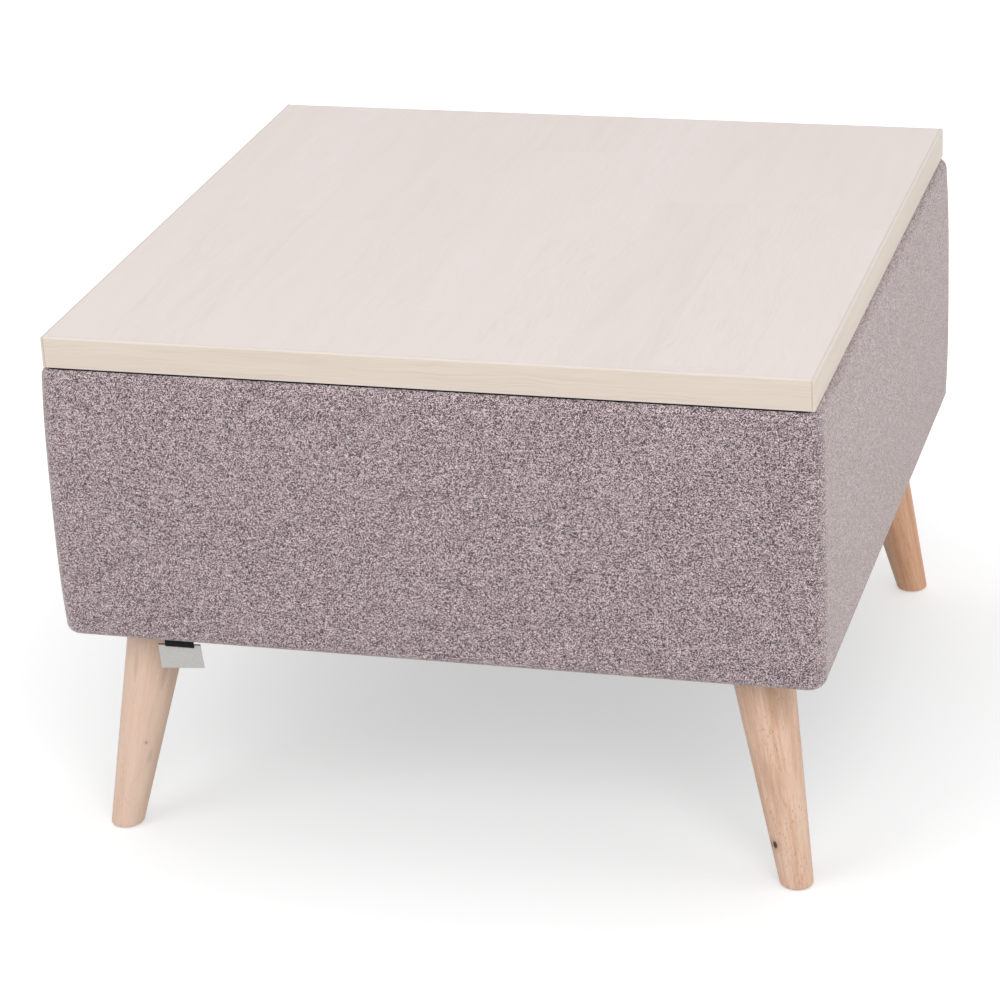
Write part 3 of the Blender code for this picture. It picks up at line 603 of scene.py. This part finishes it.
tape_staples = staple * TAPE_STAPLE_SIZE + tape_row[:, None, None]
staple_points = np.concatenate([*side_staples, tape_staples])
staples = make_piece("dust_cover_staples", staple_points, steel, ring=True, crease=40)


# Legs: turned from pale beech as leaning cones, cut level at the top and at the foot, and lacquered. A bolt
# in each one screws into the base. Some have small knots and brown stains.

FOOT_RADIUS = 0.013
LEG_TOP_RADIUS = 0.025
LEG_SPLAY = math.radians(14.5)
FOOT_ROUNDING = 0.002
BOLT_HOLE = 0.0043
BOLT_HOLE_DEPTH = 0.0353
GLIDE_HOLE = 0.0093
GLIDE_HOLE_DEPTH = 0.0043
LEG_STEPS = 64
LEG_ROWS = 40
LEG_SPREAD = 10.0
PALE_SHADES = ((0.34, (0.690, 0.470, 0.350)), (0.50, (0.780, 0.568, 0.446)), (0.66, (0.830, 0.640, 0.525)))
WARM_SHADES = ((0.34, (0.630, 0.326, 0.183)), (0.50, (0.750, 0.426, 0.262)), (0.66, (0.810, 0.515, 0.348)))
PORE_COLOR = (0.33, 0.19, 0.11, 1)
STAIN_COLOR = (0.36, 0.20, 0.11, 1)
CORE_COLOR = (0.040, 0.006, 0.002, 1)

beech = Finish("lacquered_beech", {"Specular IOR Level": 0.4, "Coat Weight": 0.05, "Coat Roughness": 0.3})
along_leg = beech.node("Attribute", {}, "Vector", attribute_name="grain")
leg_look = beech.node("Attribute", {}, "Vector", attribute_name="look")
leg_tone = part_of(beech, leg_look, 0)
leg_figure = part_of(beech, leg_look, 1)
growth = beech.noise(beech.place((0.009, 0.009, 0.20), along_leg), 3.0)
streak = beech.noise(beech.place((0.0018, 0.0018, 0.07), along_leg), 4.0)
fibre = beech.noise(beech.place((0.0005, 0.0005, 0.014), along_leg), 3.0)
pore = beech.noise(beech.place((0.0008, 0.0008, 0.0045), along_leg), 2.0)
pored = beech.noise(beech.place((0.014, 0.014, 0.05), along_leg), 2.0)
wood_tone = beech.math("SUBTRACT", beech.weigh((growth, 0.5), (streak, 0.3), (fibre, 0.2)), 0.5)
wood_tone = beech.math("MULTIPLY", wood_tone, beech.spread(leg_figure, 0.0, 1.0, 0.7, 1.7))
wood_tone = beech.math("ADD", wood_tone, beech.spread(leg_figure, 0.0, 1.0, 0.50, 0.44))
wood_color = beech.mix(leg_tone, beech.ramp(wood_tone, *PALE_SHADES), beech.ramp(wood_tone, *WARM_SHADES))
pore_share = beech.math("MULTIPLY", beech.spread(pored, 0.38, 0.60, 0.10, 0.60), leg_figure)
pore_dark = beech.math("MULTIPLY", beech.spread(pore, 0.58, 0.70), pore_share)
wood_color = beech.mix(pore_dark, wood_color, PORE_COLOR)

# Marks by leg: where each lies across, over and along the leg, its radius, how much longer than wide it is,
# and how strongly it shows as a brown stain and as a dark core
MARKS = (
    (0, (0.0176, -0.0036, 0.0767), 0.0010, 1.25, 0.16, 0.40),
    (0, (0.0102, -0.0198, 0.1422), 0.0010, 6.0, 0.22, 0.0),
    (0, (0.0219, 0.0006, 0.1360), 0.0012, 5.0, 0.24, 0.0),
    (0, (0.0171, 0.0020, 0.0641), 0.0008, 4.0, 0.24, 0.0),
    (1, (-0.0152, -0.0021, 0.0366), 0.0026, 1.25, 0.39, 0.97),
    (1, (-0.0152, 0.0030, 0.0362), 0.0015, 1.25, 0.24, 0.60),
    (1, (-0.0167, -0.0092, 0.0931), 0.0018, 5.0, 0.24, 0.0),
    (1, (-0.0127, -0.0129, 0.0781), 0.0022, 5.0, 0.24, 0.0),
    (1, (-0.0085, -0.0215, 0.1549), 0.0028, 3.5, 0.32, 0.0),
    (1, (-0.0006, -0.0226, 0.1473), 0.0020, 4.0, 0.28, 0.0),
)
ragged = beech.math("MULTIPLY", beech.math("SUBTRACT", streak, 0.5), 0.9)
for leg_number, (mark_across, mark_over, mark_along), mark_radius, mark_length, stain, core in MARKS:
    mark_middle = (mark_across, mark_over, mark_along + leg_number * LEG_SPREAD)
    mark_size = (mark_radius, mark_radius, mark_radius * mark_length)
    from_mark = beech.place(mark_size, along_leg, shift=mark_middle)
    mark_distance = beech.node("VectorMath", {0: from_mark}, "Value", operation="LENGTH")
    mark_distance = beech.math("ADD", mark_distance, ragged)
    wood_color = beech.mix(beech.spread(mark_distance, 1.0, 3.0, stain, 0.0), wood_color, STAIN_COLOR)
    if core > 0:
        wood_color = beech.mix(beech.spread(mark_distance, 0.6, 1.2, core, 0.0), wood_color, CORE_COLOR)
beech.put({
    "Base Color": wood_color,
    "Roughness": beech.spread(streak, 0.3, 0.7, 0.42, 0.56),
    "Normal": beech.bump(beech.weigh((fibre, 1.0), (pore_dark, -1.5)), 0.00012),
})


def leg_frame(corner_x, corner_y):
    """The middle of a leg's foot and of its top, and the directions along it, across it and over it."""
    glide_low, glide_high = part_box("glide_front_right")
    foot_half = (glide_low.x + glide_high.x) / 2
    leg_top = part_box("leg_front_right")[1].z
    top_half = foot_half - leg_top * math.tan(LEG_SPLAY) / math.sqrt(2)
    foot = np.array([corner_x * foot_half, corner_y * foot_half, 0.0])
    top = np.array([corner_x * top_half, corner_y * top_half, leg_top])
    axis = (top - foot) / np.linalg.norm(top - foot)
    across = np.cross(axis, (0, 0, 1))
    across /= np.linalg.norm(across)
    return foot, top, axis, across, np.cross(axis, across)


def cone_rings(leg, height, shrink):
    """Level sections of a leaning cone at some heights, each drawn in by a shrink.

    Each line of the cone runs from the foot's circle to the top's circle, both square to the leg's axis,
    and a ring holds the points where the lines cross its height.
    """
    foot, top, axis, across, over = leg
    turn = np.linspace(0, math.tau, LEG_STEPS, endpoint=False)[:, None]
    spoke = across * np.cos(turn) + over * np.sin(turn)
    low = foot + spoke * FOOT_RADIUS
    high = top + spoke * LEG_TOP_RADIUS
    share = (height[:, None] - low[:, 2]) / (high[:, 2] - low[:, 2])
    points = low + share[:, :, None] * (high - low)
    middle = (foot + (height / top[2])[:, None] * (top - foot))[:, None]
    reach = points - middle
    length = np.linalg.norm(reach, axis=2, keepdims=True)
    return middle + reach * (1 - shrink[:, None, None] / length)


def hole_rings(leg, middle, radius, height):
    """Level circles round an upright line, started on the same side as the cone's rings."""
    across, over = leg[3], leg[4]
    turn = np.linspace(0, math.tau, LEG_STEPS, endpoint=False)[:, None]
    spoke = across * np.cos(turn) + over * np.sin(turn)
    flat = spoke[:, :2] / np.linalg.norm(spoke[:, :2], axis=1, keepdims=True)
    circles = middle[:2] + radius[:, None, None] * flat
    return np.dstack([circles, np.broadcast_to(height[:, None], circles.shape[:2])])


def spots_of(piece):
    """Where the points of a piece's mesh lie."""
    spots = np.empty(len(piece.data.vertices) * 3, np.float32)
    piece.data.vertices.foreach_get("co", spots)
    return spots.reshape(-1, 3)


# How warm each leg's wood is, and how strongly it is figured
LEG_LOOKS = ((0.05, 0.3), (0.32, 1.0), (1.0, 0.7), (0.40, 0.6))
for leg_number, (corner, corner_x, corner_y) in enumerate(CORNERS):
    leg = leg_frame(corner_x, corner_y)
    foot, top, axis, leg_across, leg_over = leg
    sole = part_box(f"leg_{corner}")[0].z
    turn = np.linspace(0, math.pi / 2, 7)
    foot_height = sole + FOOT_ROUNDING * (1 - np.cos(turn))
    cone_height = np.concatenate([foot_height, np.linspace(sole + 3 * FOOT_ROUNDING, top[2], LEG_ROWS)])
    cone_shrink = np.concatenate([FOOT_ROUNDING * (1 - np.sin(turn)), np.zeros(LEG_ROWS)])
    glide_height = np.array([GLIDE_HOLE_DEPTH, GLIDE_HOLE_DEPTH, sole])
    glide_hole = hole_rings(leg, foot, np.array([0, 1, 1]) * GLIDE_HOLE, glide_height)
    bolt_height = top[2] - np.array([0, 1, 1]) * BOLT_HOLE_DEPTH
    bolt_hole = hole_rings(leg, top, np.array([1, 1, 0]) * BOLT_HOLE, bolt_height)
    leg_points = np.concatenate([glide_hole, cone_rings(leg, cone_height, cone_shrink), bolt_hole])
    leg_piece = make_piece(f"beech_leg_{corner}", leg_points, beech, ring=True, crease=50)
    grain = (spots_of(leg_piece) - foot) @ np.stack([leg_across, leg_over, axis], 1)
    grain[:, 2] += leg_number * LEG_SPREAD
    look = np.tile([*LEG_LOOKS[leg_number], 0.0], (len(grain), 1))
    for name, values in (("grain", grain), ("look", look)):
        layer = leg_piece.data.attributes.new(name, "FLOAT_VECTOR", "POINT")
        layer.data.foreach_set("vector", values.astype(np.float32).ravel())
    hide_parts(f"leg_{corner}")


# Glides: discs of grey nylon, moulded with a finely grained face and pressed into the recess in each foot, so
# that the table slides and the wood stays off the floor.

nylon = Finish("grey_nylon", {"Roughness": 0.5})
mould_grain = nylon.noise(nylon.place((0.0006, 0.0006, 0.0006)), 3.0)
nylon.put({
    "Base Color": nylon.ramp(mould_grain, (0.3, (0.26, 0.25, 0.24)), (0.7, (0.34, 0.33, 0.32))),
    "Roughness": nylon.spread(mould_grain, 0.3, 0.7, 0.42, 0.6),
    "Normal": nylon.bump(mould_grain, 0.00008),
})
dress([f"glide_{corner}" for corner, _, _ in CORNERS], nylon)


# Top board: 25 mm chipboard under a pale wood-look laminate whose faint grain runs from the front to the
# back. It is screwed down through the deck of the box.

STAVE_WIDTH = 0.071
STAVE_LENGTH = 0.40
STAVE_START = (-0.038, 0.03, 0)
STAVE_JUMP = 3.0
GRAIN_WANDER = 0.025
PRINT_SHADES = ((0.30, (0.762, 0.672, 0.634)), (0.50, (0.796, 0.713, 0.682)), (0.70, (0.816, 0.742, 0.716)))
PRINTED_JOINT = (0.50, 0.38, 0.32, 1)

laminate = Finish("pale_wood_laminate", {"Specular IOR Level": 0.35})
stave_count = laminate.place((STAVE_WIDTH, STAVE_LENGTH, 1.0), shift=STAVE_START)
stave_across = part_of(laminate, stave_count, 0)
stave_number = laminate.math("FLOOR", stave_across)
stave_slide = laminate.node("TexWhiteNoise", {"W": stave_number}, "Value", noise_dimensions="1D")
stave_along = laminate.math("ADD", part_of(laminate, stave_count, 1), stave_slide)
stave = laminate.node("CombineXYZ", {0: stave_number, 1: laminate.math("FLOOR", stave_along)})
stave_tone = laminate.chance(stave)
stave_chance = laminate.chance(stave, "Color")
stave_jump = laminate.node("VectorMath", {0: stave_chance, "Scale": STAVE_JUMP}, operation="SCALE")
stave_place = laminate.vector("ADD", laminate.place((1, 1, 1)), stave_jump)
wave = laminate.math("SUBTRACT", laminate.noise(laminate.place((0.035, 0.090, 1.0), stave_place), 1.0), 0.5)
wander = laminate.node("CombineXYZ", {0: laminate.math("MULTIPLY", wave, GRAIN_WANDER)})
grain_place = laminate.vector("ADD", stave_place, wander)
flame = laminate.noise(laminate.place((0.011, 0.16, 1.0), grain_place), 4.0)
line = laminate.noise(laminate.place((0.0013, 0.03, 1.0), grain_place), 3.0)
lively = part_of(laminate, stave_chance, 1)
line_strength = laminate.spread(lively, 0.2, 1.0, 0.1, 0.9)
line_tone = laminate.math("MULTIPLY", laminate.math("SUBTRACT", line, 0.5), line_strength)
print_tone = laminate.math("ADD", laminate.weigh((stave_tone, 0.16), (flame, 0.42)), 0.21)
print_tone = laminate.math("ADD", print_tone, line_tone)
from_side = laminate.math("ABSOLUTE", laminate.math("SUBTRACT", laminate.math("FRACT", stave_across), 0.5))
from_end = laminate.math("ABSOLUTE", laminate.math("SUBTRACT", laminate.math("FRACT", stave_along), 0.5))
side_joint = laminate.spread(from_side, 0.494, 0.5)
joint = laminate.math("MAXIMUM", side_joint, laminate.spread(from_end, 0.499, 0.5))
print_color = laminate.ramp(print_tone, *PRINT_SHADES)
laminate.put({
    "Base Color": laminate.mix(laminate.math("MULTIPLY", joint, 0.12), print_color, PRINTED_JOINT),
    "Roughness": laminate.spread(line, 0.3, 0.7, 0.40, 0.48),
    "Normal": laminate.bump(line, 0.00003),
})
dress(["top_board"], laminate)


# Edge bands: 2 mm strips of wood-look plastic, glued to the four edges of the board and rounded over above
# and below. The left and right bands run past the ends of the front and back ones.

BAND_ROUNDING = 0.0015
BAND_LOWER_ROUNDING = 0.0005
BAND_END_EASE = 0.0008
GLUE_LINE = 0.00015
GLUE_SEEN = 0.0006
GLUE_NEAR = 0.0001
GLUE_FAINT = 0.55
GLUE_COLOR = (0.27, 0.16, 0.09, 1)
SCRAPED_AND_HIGHLIGHT_COLOR = (0.800, 0.735, 0.690, 1)
SCRAPED_AND_HIGHLIGHT_WIDTH = (0.0020, 0.0008)
BAND_SHADES = ((0.32, (0.702, 0.585, 0.484)), (0.50, (0.756, 0.656, 0.566)), (0.68, (0.790, 0.704, 0.626)))
BAND_SIDES = (("front", -1, True), ("back", 1, True), ("left", -1, False), ("right", 1, False))
SIDE_SHIFT = 1.7
band_low, band_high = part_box("edge_band_right")
board_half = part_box("top_board")[1].x
TOP_HALF = band_high.x
BAND_THICKNESS = band_high.x - band_low.x

band = Finish("wood_look_edge_band", {"Specular IOR Level": 0.18})
band_place = band.node("UVMap", {}, uv_map="length")
band_wave = band.noise(band.place((0.05, 0.012, 1.0), band_place), 2.0)
band_lift = band.node("CombineXYZ", {1: band.math("MULTIPLY", band_wave, 0.012)})
band_grain_place = band.vector("ADD", band_place, band_lift)
band_grain = band.noise(band.place((0.12, 0.0016, 1.0), band_grain_place), 4.0)
band_cloud = band.noise(band.place((0.16, 0.02, 1.0), band_place), 2.0)
band_tone = band.weigh((band_grain, 0.65), (band_cloud, 0.35))
glue = band.spread(band.node("Attribute", {}, "Fac", attribute_name="glue"), 0.25, 0.9, 0.0, 0.75)
band_middle = (band_low.z + band_high.z) / 2
band_half = band_high.z - band_middle
from_middle = band.math("SUBTRACT", part_of(band, band.place((1, 1, 1)), 2), band_middle)
from_middle = band.math("ABSOLUTE", from_middle)
# Along the rounded upper and lower edges the band turns paler: partly the print scraped off where the band
# was rounded, partly a painted highlight on the rounding.
scraped_and_highlight = band.spread(from_middle, band_half - SCRAPED_AND_HIGHLIGHT_WIDTH[0], band_half - SCRAPED_AND_HIGHLIGHT_WIDTH[1], 0.0, 0.6)
band_color = band.mix(scraped_and_highlight, band.ramp(band_tone, *BAND_SHADES), SCRAPED_AND_HIGHLIGHT_COLOR)
band.put({
    "Base Color": band.mix(glue, band_color, GLUE_COLOR),
    "Roughness": band.spread(band_grain, 0.3, 0.7, 0.36, 0.44),
    "Normal": band.bump(band_grain, 0.00003),
})


def band_profile():
    """A band's section as closed rows of outward reach and height: square inside, rounded outside."""
    turn = np.linspace(0, math.pi / 2, 8)
    lower = BAND_LOWER_ROUNDING
    upper = BAND_ROUNDING
    low = band_low.z + lower
    high = band_high.z - upper
    side = np.linspace(low, high, 8)[1:-1]
    outward = np.concatenate([
        [-GLUE_LINE], BAND_THICKNESS - lower * (1 - np.sin(turn)), np.full(side.size, BAND_THICKNESS),
        BAND_THICKNESS - upper * (1 - np.cos(turn)), [-GLUE_LINE],
    ])
    height = np.concatenate([
        [band_low.z], low - lower * np.cos(turn), side, high + upper * np.sin(turn), [band_high.z],
    ])
    return outward, height


for side, outward, along_x in BAND_SIDES:
    reach, height = band_profile()
    half_length = board_half + GLUE_LINE if along_x else TOP_HALF
    end_ease = 0.0 if along_x else BAND_END_EASE
    turn = np.linspace(0, math.pi / 2, 5)
    end = half_length - end_ease * (1 - np.sin(turn))
    middle = np.linspace(-end[0] + GLUE_SEEN, end[0] - GLUE_SEEN, 61)
    along = np.concatenate([-end[::-1], middle, end])
    ease = end_ease * (1 - np.cos(turn))
    ease = np.concatenate([ease[::-1], np.zeros(middle.size), ease])
    rows = reach - ease[:, None] * np.clip(reach / BAND_THICKNESS, 0, 1)
    out = outward * (TOP_HALF - BAND_THICKNESS + rows)
    run = np.broadcast_to(along[:, None], out.shape)
    lift = np.broadcast_to(height, out.shape)
    points = np.dstack([run, out, lift]) if along_x else np.dstack([out, run, lift])
    cap = points[[0, -1]].mean(axis=1, keepdims=True) * np.ones((1, reach.size, 1))
    points = np.concatenate([cap[:1], points, cap[1:]])
    around = lengths(np.stack([reach, height], 1))
    run_length = np.concatenate([along[:1], along, along[-1:]]) + TOP_HALF
    side_shift = SIDE_NAMES.index(side) * SIDE_SHIFT
    uv = np.dstack(np.meshgrid(around, run_length + side_shift)[::-1])
    edge_band = make_piece(f"wood_band_{side}", points, band, ring=True, uv=uv, crease=35)
    band_run, band_out = np.abs(spots_of(edge_band)[:, :2].T)[::1 if along_x else -1]
    glued = (band_out < TOP_HALF - BAND_THICKNESS + GLUE_NEAR) * GLUE_FAINT
    if along_x:
        glued[band_run > half_length - GLUE_NEAR] = 1.0
    glue_line = edge_band.data.attributes.new("glue", "FLOAT", "POINT")
    glue_line.data.foreach_set("value", glued.astype(np.float32))
    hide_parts(f"edge_band_{side}")


# Label: a bare woven tag, folded double and sewn into a loop of black tape that is stapled under the front
# hem, next to the left leg. It hangs a little askew.

TAG_TILT = math.radians(3.2)
TAG_CURL = 0.0012
TAG_THREAD = 0.00042
TAG_TOP_LINE = (0.0203, 0.0208)
TAG_TOP_COLOR = (0.020, 0.020, 0.022, 1)
label_low, label_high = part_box("label")

tag = Finish("pale_woven_tag", {"Roughness": 0.8, "Sheen Weight": 0.15})
tag_place = tag.node("UVMap", {}, uv_map="length")
tag_count = tag.place((TAG_THREAD, TAG_THREAD, 1), tag_place)
tag_thread = tag.chance(tag.vector("FLOOR", tag_count))
tag_within = tag.vector("FRACTION", tag_count)
tag_round = tag.math("MULTIPLY", *(arch(tag, part_of(tag, tag_within, axis)) for axis in (0, 1)))
tag_height = part_of(tag, tag_place, 1)
tag_color = tag.ramp(tag_thread, (0.0, (0.600, 0.583, 0.550)), (1.0, (0.735, 0.722, 0.690)))
tag_color = tag.mix(tag.spread(tag_height, *TAG_TOP_LINE), tag_color, TAG_TOP_COLOR)
tag.put({"Base Color": tag_color, "Normal": tag.bump(tag_round, 0.00015)})

tag_u, tag_v = np.meshgrid(np.linspace(-0.5, 0.5, 29), np.linspace(-0.5, 0.5, 19), indexing="ij")
tag_width = label_high.x - label_low.x
tag_drop = label_high.z - label_low.z
tag_middle = (label_low + label_high) / 2
tag_x = tag_u * tag_width
tag_z = tag_v * tag_drop
tag_bend = TAG_CURL * (0.5 - tag_v) ** 2 * (1 + 1.5 * tag_u)
tag_points = np.dstack([
    tag_middle.x + tag_x * math.cos(TAG_TILT) - tag_z * math.sin(TAG_TILT),
    tag_middle.y + tag_bend,
    tag_middle.z + tag_x * math.sin(TAG_TILT) + tag_z * math.cos(TAG_TILT),
])
tag_uv = np.dstack([(tag_u + 0.5) * tag_width, (tag_v + 0.5) * tag_drop])
tag_piece = make_piece("woven_tag", tag_points, tag, uv=tag_uv)
tag_wall = tag_piece.modifiers.new("thickness", "SOLIDIFY")
tag_wall.thickness = label_high.y - label_low.y
tag_wall.offset = 0.0
tag_edge = tag_piece.modifiers.new("soft edge", "BEVEL")
tag_edge.width = 0.0003
tag_edge.segments = 2
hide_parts("label")

TAPE_FOLD = 0.0012
tape_front = tape_low.y + TAPE_WALL / 2
tape_top = tape_high.z - TAPE_WALL / 2
turn = np.linspace(0, math.pi / 2, 6)
tape_path = np.concatenate([
    np.stack([np.full(7, tape_front), np.linspace(tape_low.z, tape_top - TAPE_FOLD, 8)[:-1]], 1),
    np.stack([tape_front + TAPE_FOLD * (1 - np.cos(turn)), tape_top - TAPE_FOLD * (1 - np.sin(turn))], 1),
    np.stack([np.linspace(tape_front + TAPE_FOLD, tape_high.y, 6)[1:], np.full(5, tape_top)], 1),
])
tape_run = np.linspace(tape_low.x, tape_high.x, 13)
tape_points = np.stack([np.column_stack([np.full(len(tape_path), x), tape_path]) for x in tape_run])
tape_length = lengths(tape_path)[:-1]
tape_uv = np.dstack(np.meshgrid(tape_length, tape_run - tape_low.x)[::-1])
tape_piece = make_piece("ribbed_tape", tape_points, tape_and_painted_shade, uv=tape_uv)
tape_solid = tape_piece.modifiers.new("thickness", "SOLIDIFY")
tape_solid.thickness = TAPE_WALL
tape_solid.offset = 0.0
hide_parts("label_tape")


# Studio: a plain pale floor, soft lights and a white surround, seen from the front right and above through
# a long lens.

FLOOR_SIZE = 14.0
FLOOR_GLOW = (0.44, 0.66)
FLOOR_GLOW_REACH = (0.35, 0.95)
SURROUND_LIGHT = 0.50
CAMERA_PLACE = Vector((0.7539, -2.6579, 1.3803))
CAMERA_AZIMUTH = math.radians(16.41)
CAMERA_ELEVATION = math.radians(23.35)
CAMERA_ROLL = math.radians(-2.88)
CAMERA_LENS = 128.57

floor_finish = Finish("pale_floor", {"Base Color": (0.70, 0.70, 0.70, 1)})
floor_finish.put({"Roughness": 0.9, "Specular IOR Level": 0.1})
floor_reach = floor_finish.node("VectorMath", {0: floor_finish.place((1, 1, 1))}, "Value", operation="LENGTH")
floor_glow = floor_finish.spread(floor_reach, *FLOOR_GLOW_REACH, *FLOOR_GLOW)
camera_sees = floor_finish.node("LightPath", {}, "Is Camera Ray")
gloss_sees = floor_finish.node("LightPath", {}, "Is Glossy Ray")
glass_sees = floor_finish.node("LightPath", {}, "Is Transmission Ray")
sees = floor_finish.math("MAXIMUM", camera_sees, floor_finish.math("MAXIMUM", gloss_sees, glass_sees))
seen_glow = floor_finish.math("MULTIPLY", floor_glow, sees)
floor_finish.put({"Emission Color": (1, 1, 1, 1), "Emission Strength": seen_glow})
floor_mesh = bpy.data.meshes.new("floor")
half = FLOOR_SIZE / 2
floor_corners = [(-half, -half, 0), (half, -half, 0), (half, half, 0), (-half, half, 0)]
floor_mesh.from_pydata(floor_corners, [], [(0, 1, 2, 3)])
floor_mesh.materials.append(floor_finish.material)
floor = bpy.data.objects.new("floor", floor_mesh)
bpy.context.scene.collection.objects.link(floor)


def add_softbox(name, place, aim, size, power):
    """A square soft light at a place, turned to a point."""
    lamp = bpy.data.lights.new(name, "AREA")
    lamp.shape = "SQUARE"
    lamp.size = size
    lamp.energy = power
    box = bpy.data.objects.new(name, lamp)
    box.location = place
    box.rotation_euler = (Vector(aim) - Vector(place)).to_track_quat("-Z", "Y").to_euler()
    bpy.context.scene.collection.objects.link(box)


add_softbox("key_light", (1.6, -3.2, 2.6), (0, 0, 0.25), 2.4, 60)
add_softbox("fill_light", (-2.4, -2.6, 2.0), (0, 0, 0.25), 2.4, 33)
add_softbox("side_light", (3.4, -0.4, 1.0), (0, 0, 0.25), 1.8, 17)
add_softbox("top_light", (-0.3, 0.4, 3.0), (0, 0, 0.3), 2.6, 17)

world = bpy.data.worlds.new("white_surround")
world.use_nodes = True
sky = world.node_tree
background = sky.nodes["Background"]
ray = sky.nodes.new("ShaderNodeLightPath")
mirrored = sky.nodes.new("ShaderNodeMath")
mirrored.operation = "MAXIMUM"
sky.links.new(ray.outputs["Is Glossy Ray"], mirrored.inputs[0])
sky.links.new(ray.outputs["Is Transmission Ray"], mirrored.inputs[1])
seen = sky.nodes.new("ShaderNodeMath")
seen.operation = "MAXIMUM"
sky.links.new(ray.outputs["Is Camera Ray"], seen.inputs[0])
sky.links.new(mirrored.outputs[0], seen.inputs[1])
glow = sky.nodes.new("ShaderNodeMapRange")
glow.inputs["To Min"].default_value = SURROUND_LIGHT
glow.inputs["To Max"].default_value = 1.0
sky.links.new(seen.outputs[0], glow.inputs["Value"])
sky.links.new(glow.outputs["Result"], background.inputs["Strength"])
background.inputs["Color"].default_value = (1, 1, 1, 1)
bpy.context.scene.world = world
bpy.context.scene.view_settings.view_transform = "Standard"

camera_data = bpy.data.cameras.new("camera")
camera_data.lens = CAMERA_LENS
camera_data.sensor_width = 36.0
camera = bpy.data.objects.new("camera", camera_data)
forward = Vector((
    -math.sin(CAMERA_AZIMUTH) * math.cos(CAMERA_ELEVATION),
    math.cos(CAMERA_AZIMUTH) * math.cos(CAMERA_ELEVATION),
    -math.sin(CAMERA_ELEVATION),
))
level_right = forward.cross(Vector((0, 0, 1))).normalized()
level_up = level_right.cross(forward)
right = level_right * math.cos(CAMERA_ROLL) + level_up * math.sin(CAMERA_ROLL)
up = right.cross(forward)
turned = Matrix((right, up, -forward)).transposed()
camera.matrix_world = Matrix.Translation(CAMERA_PLACE) @ turned.to_4x4()
bpy.context.scene.collection.objects.link(camera)
bpy.context.scene.camera = camera
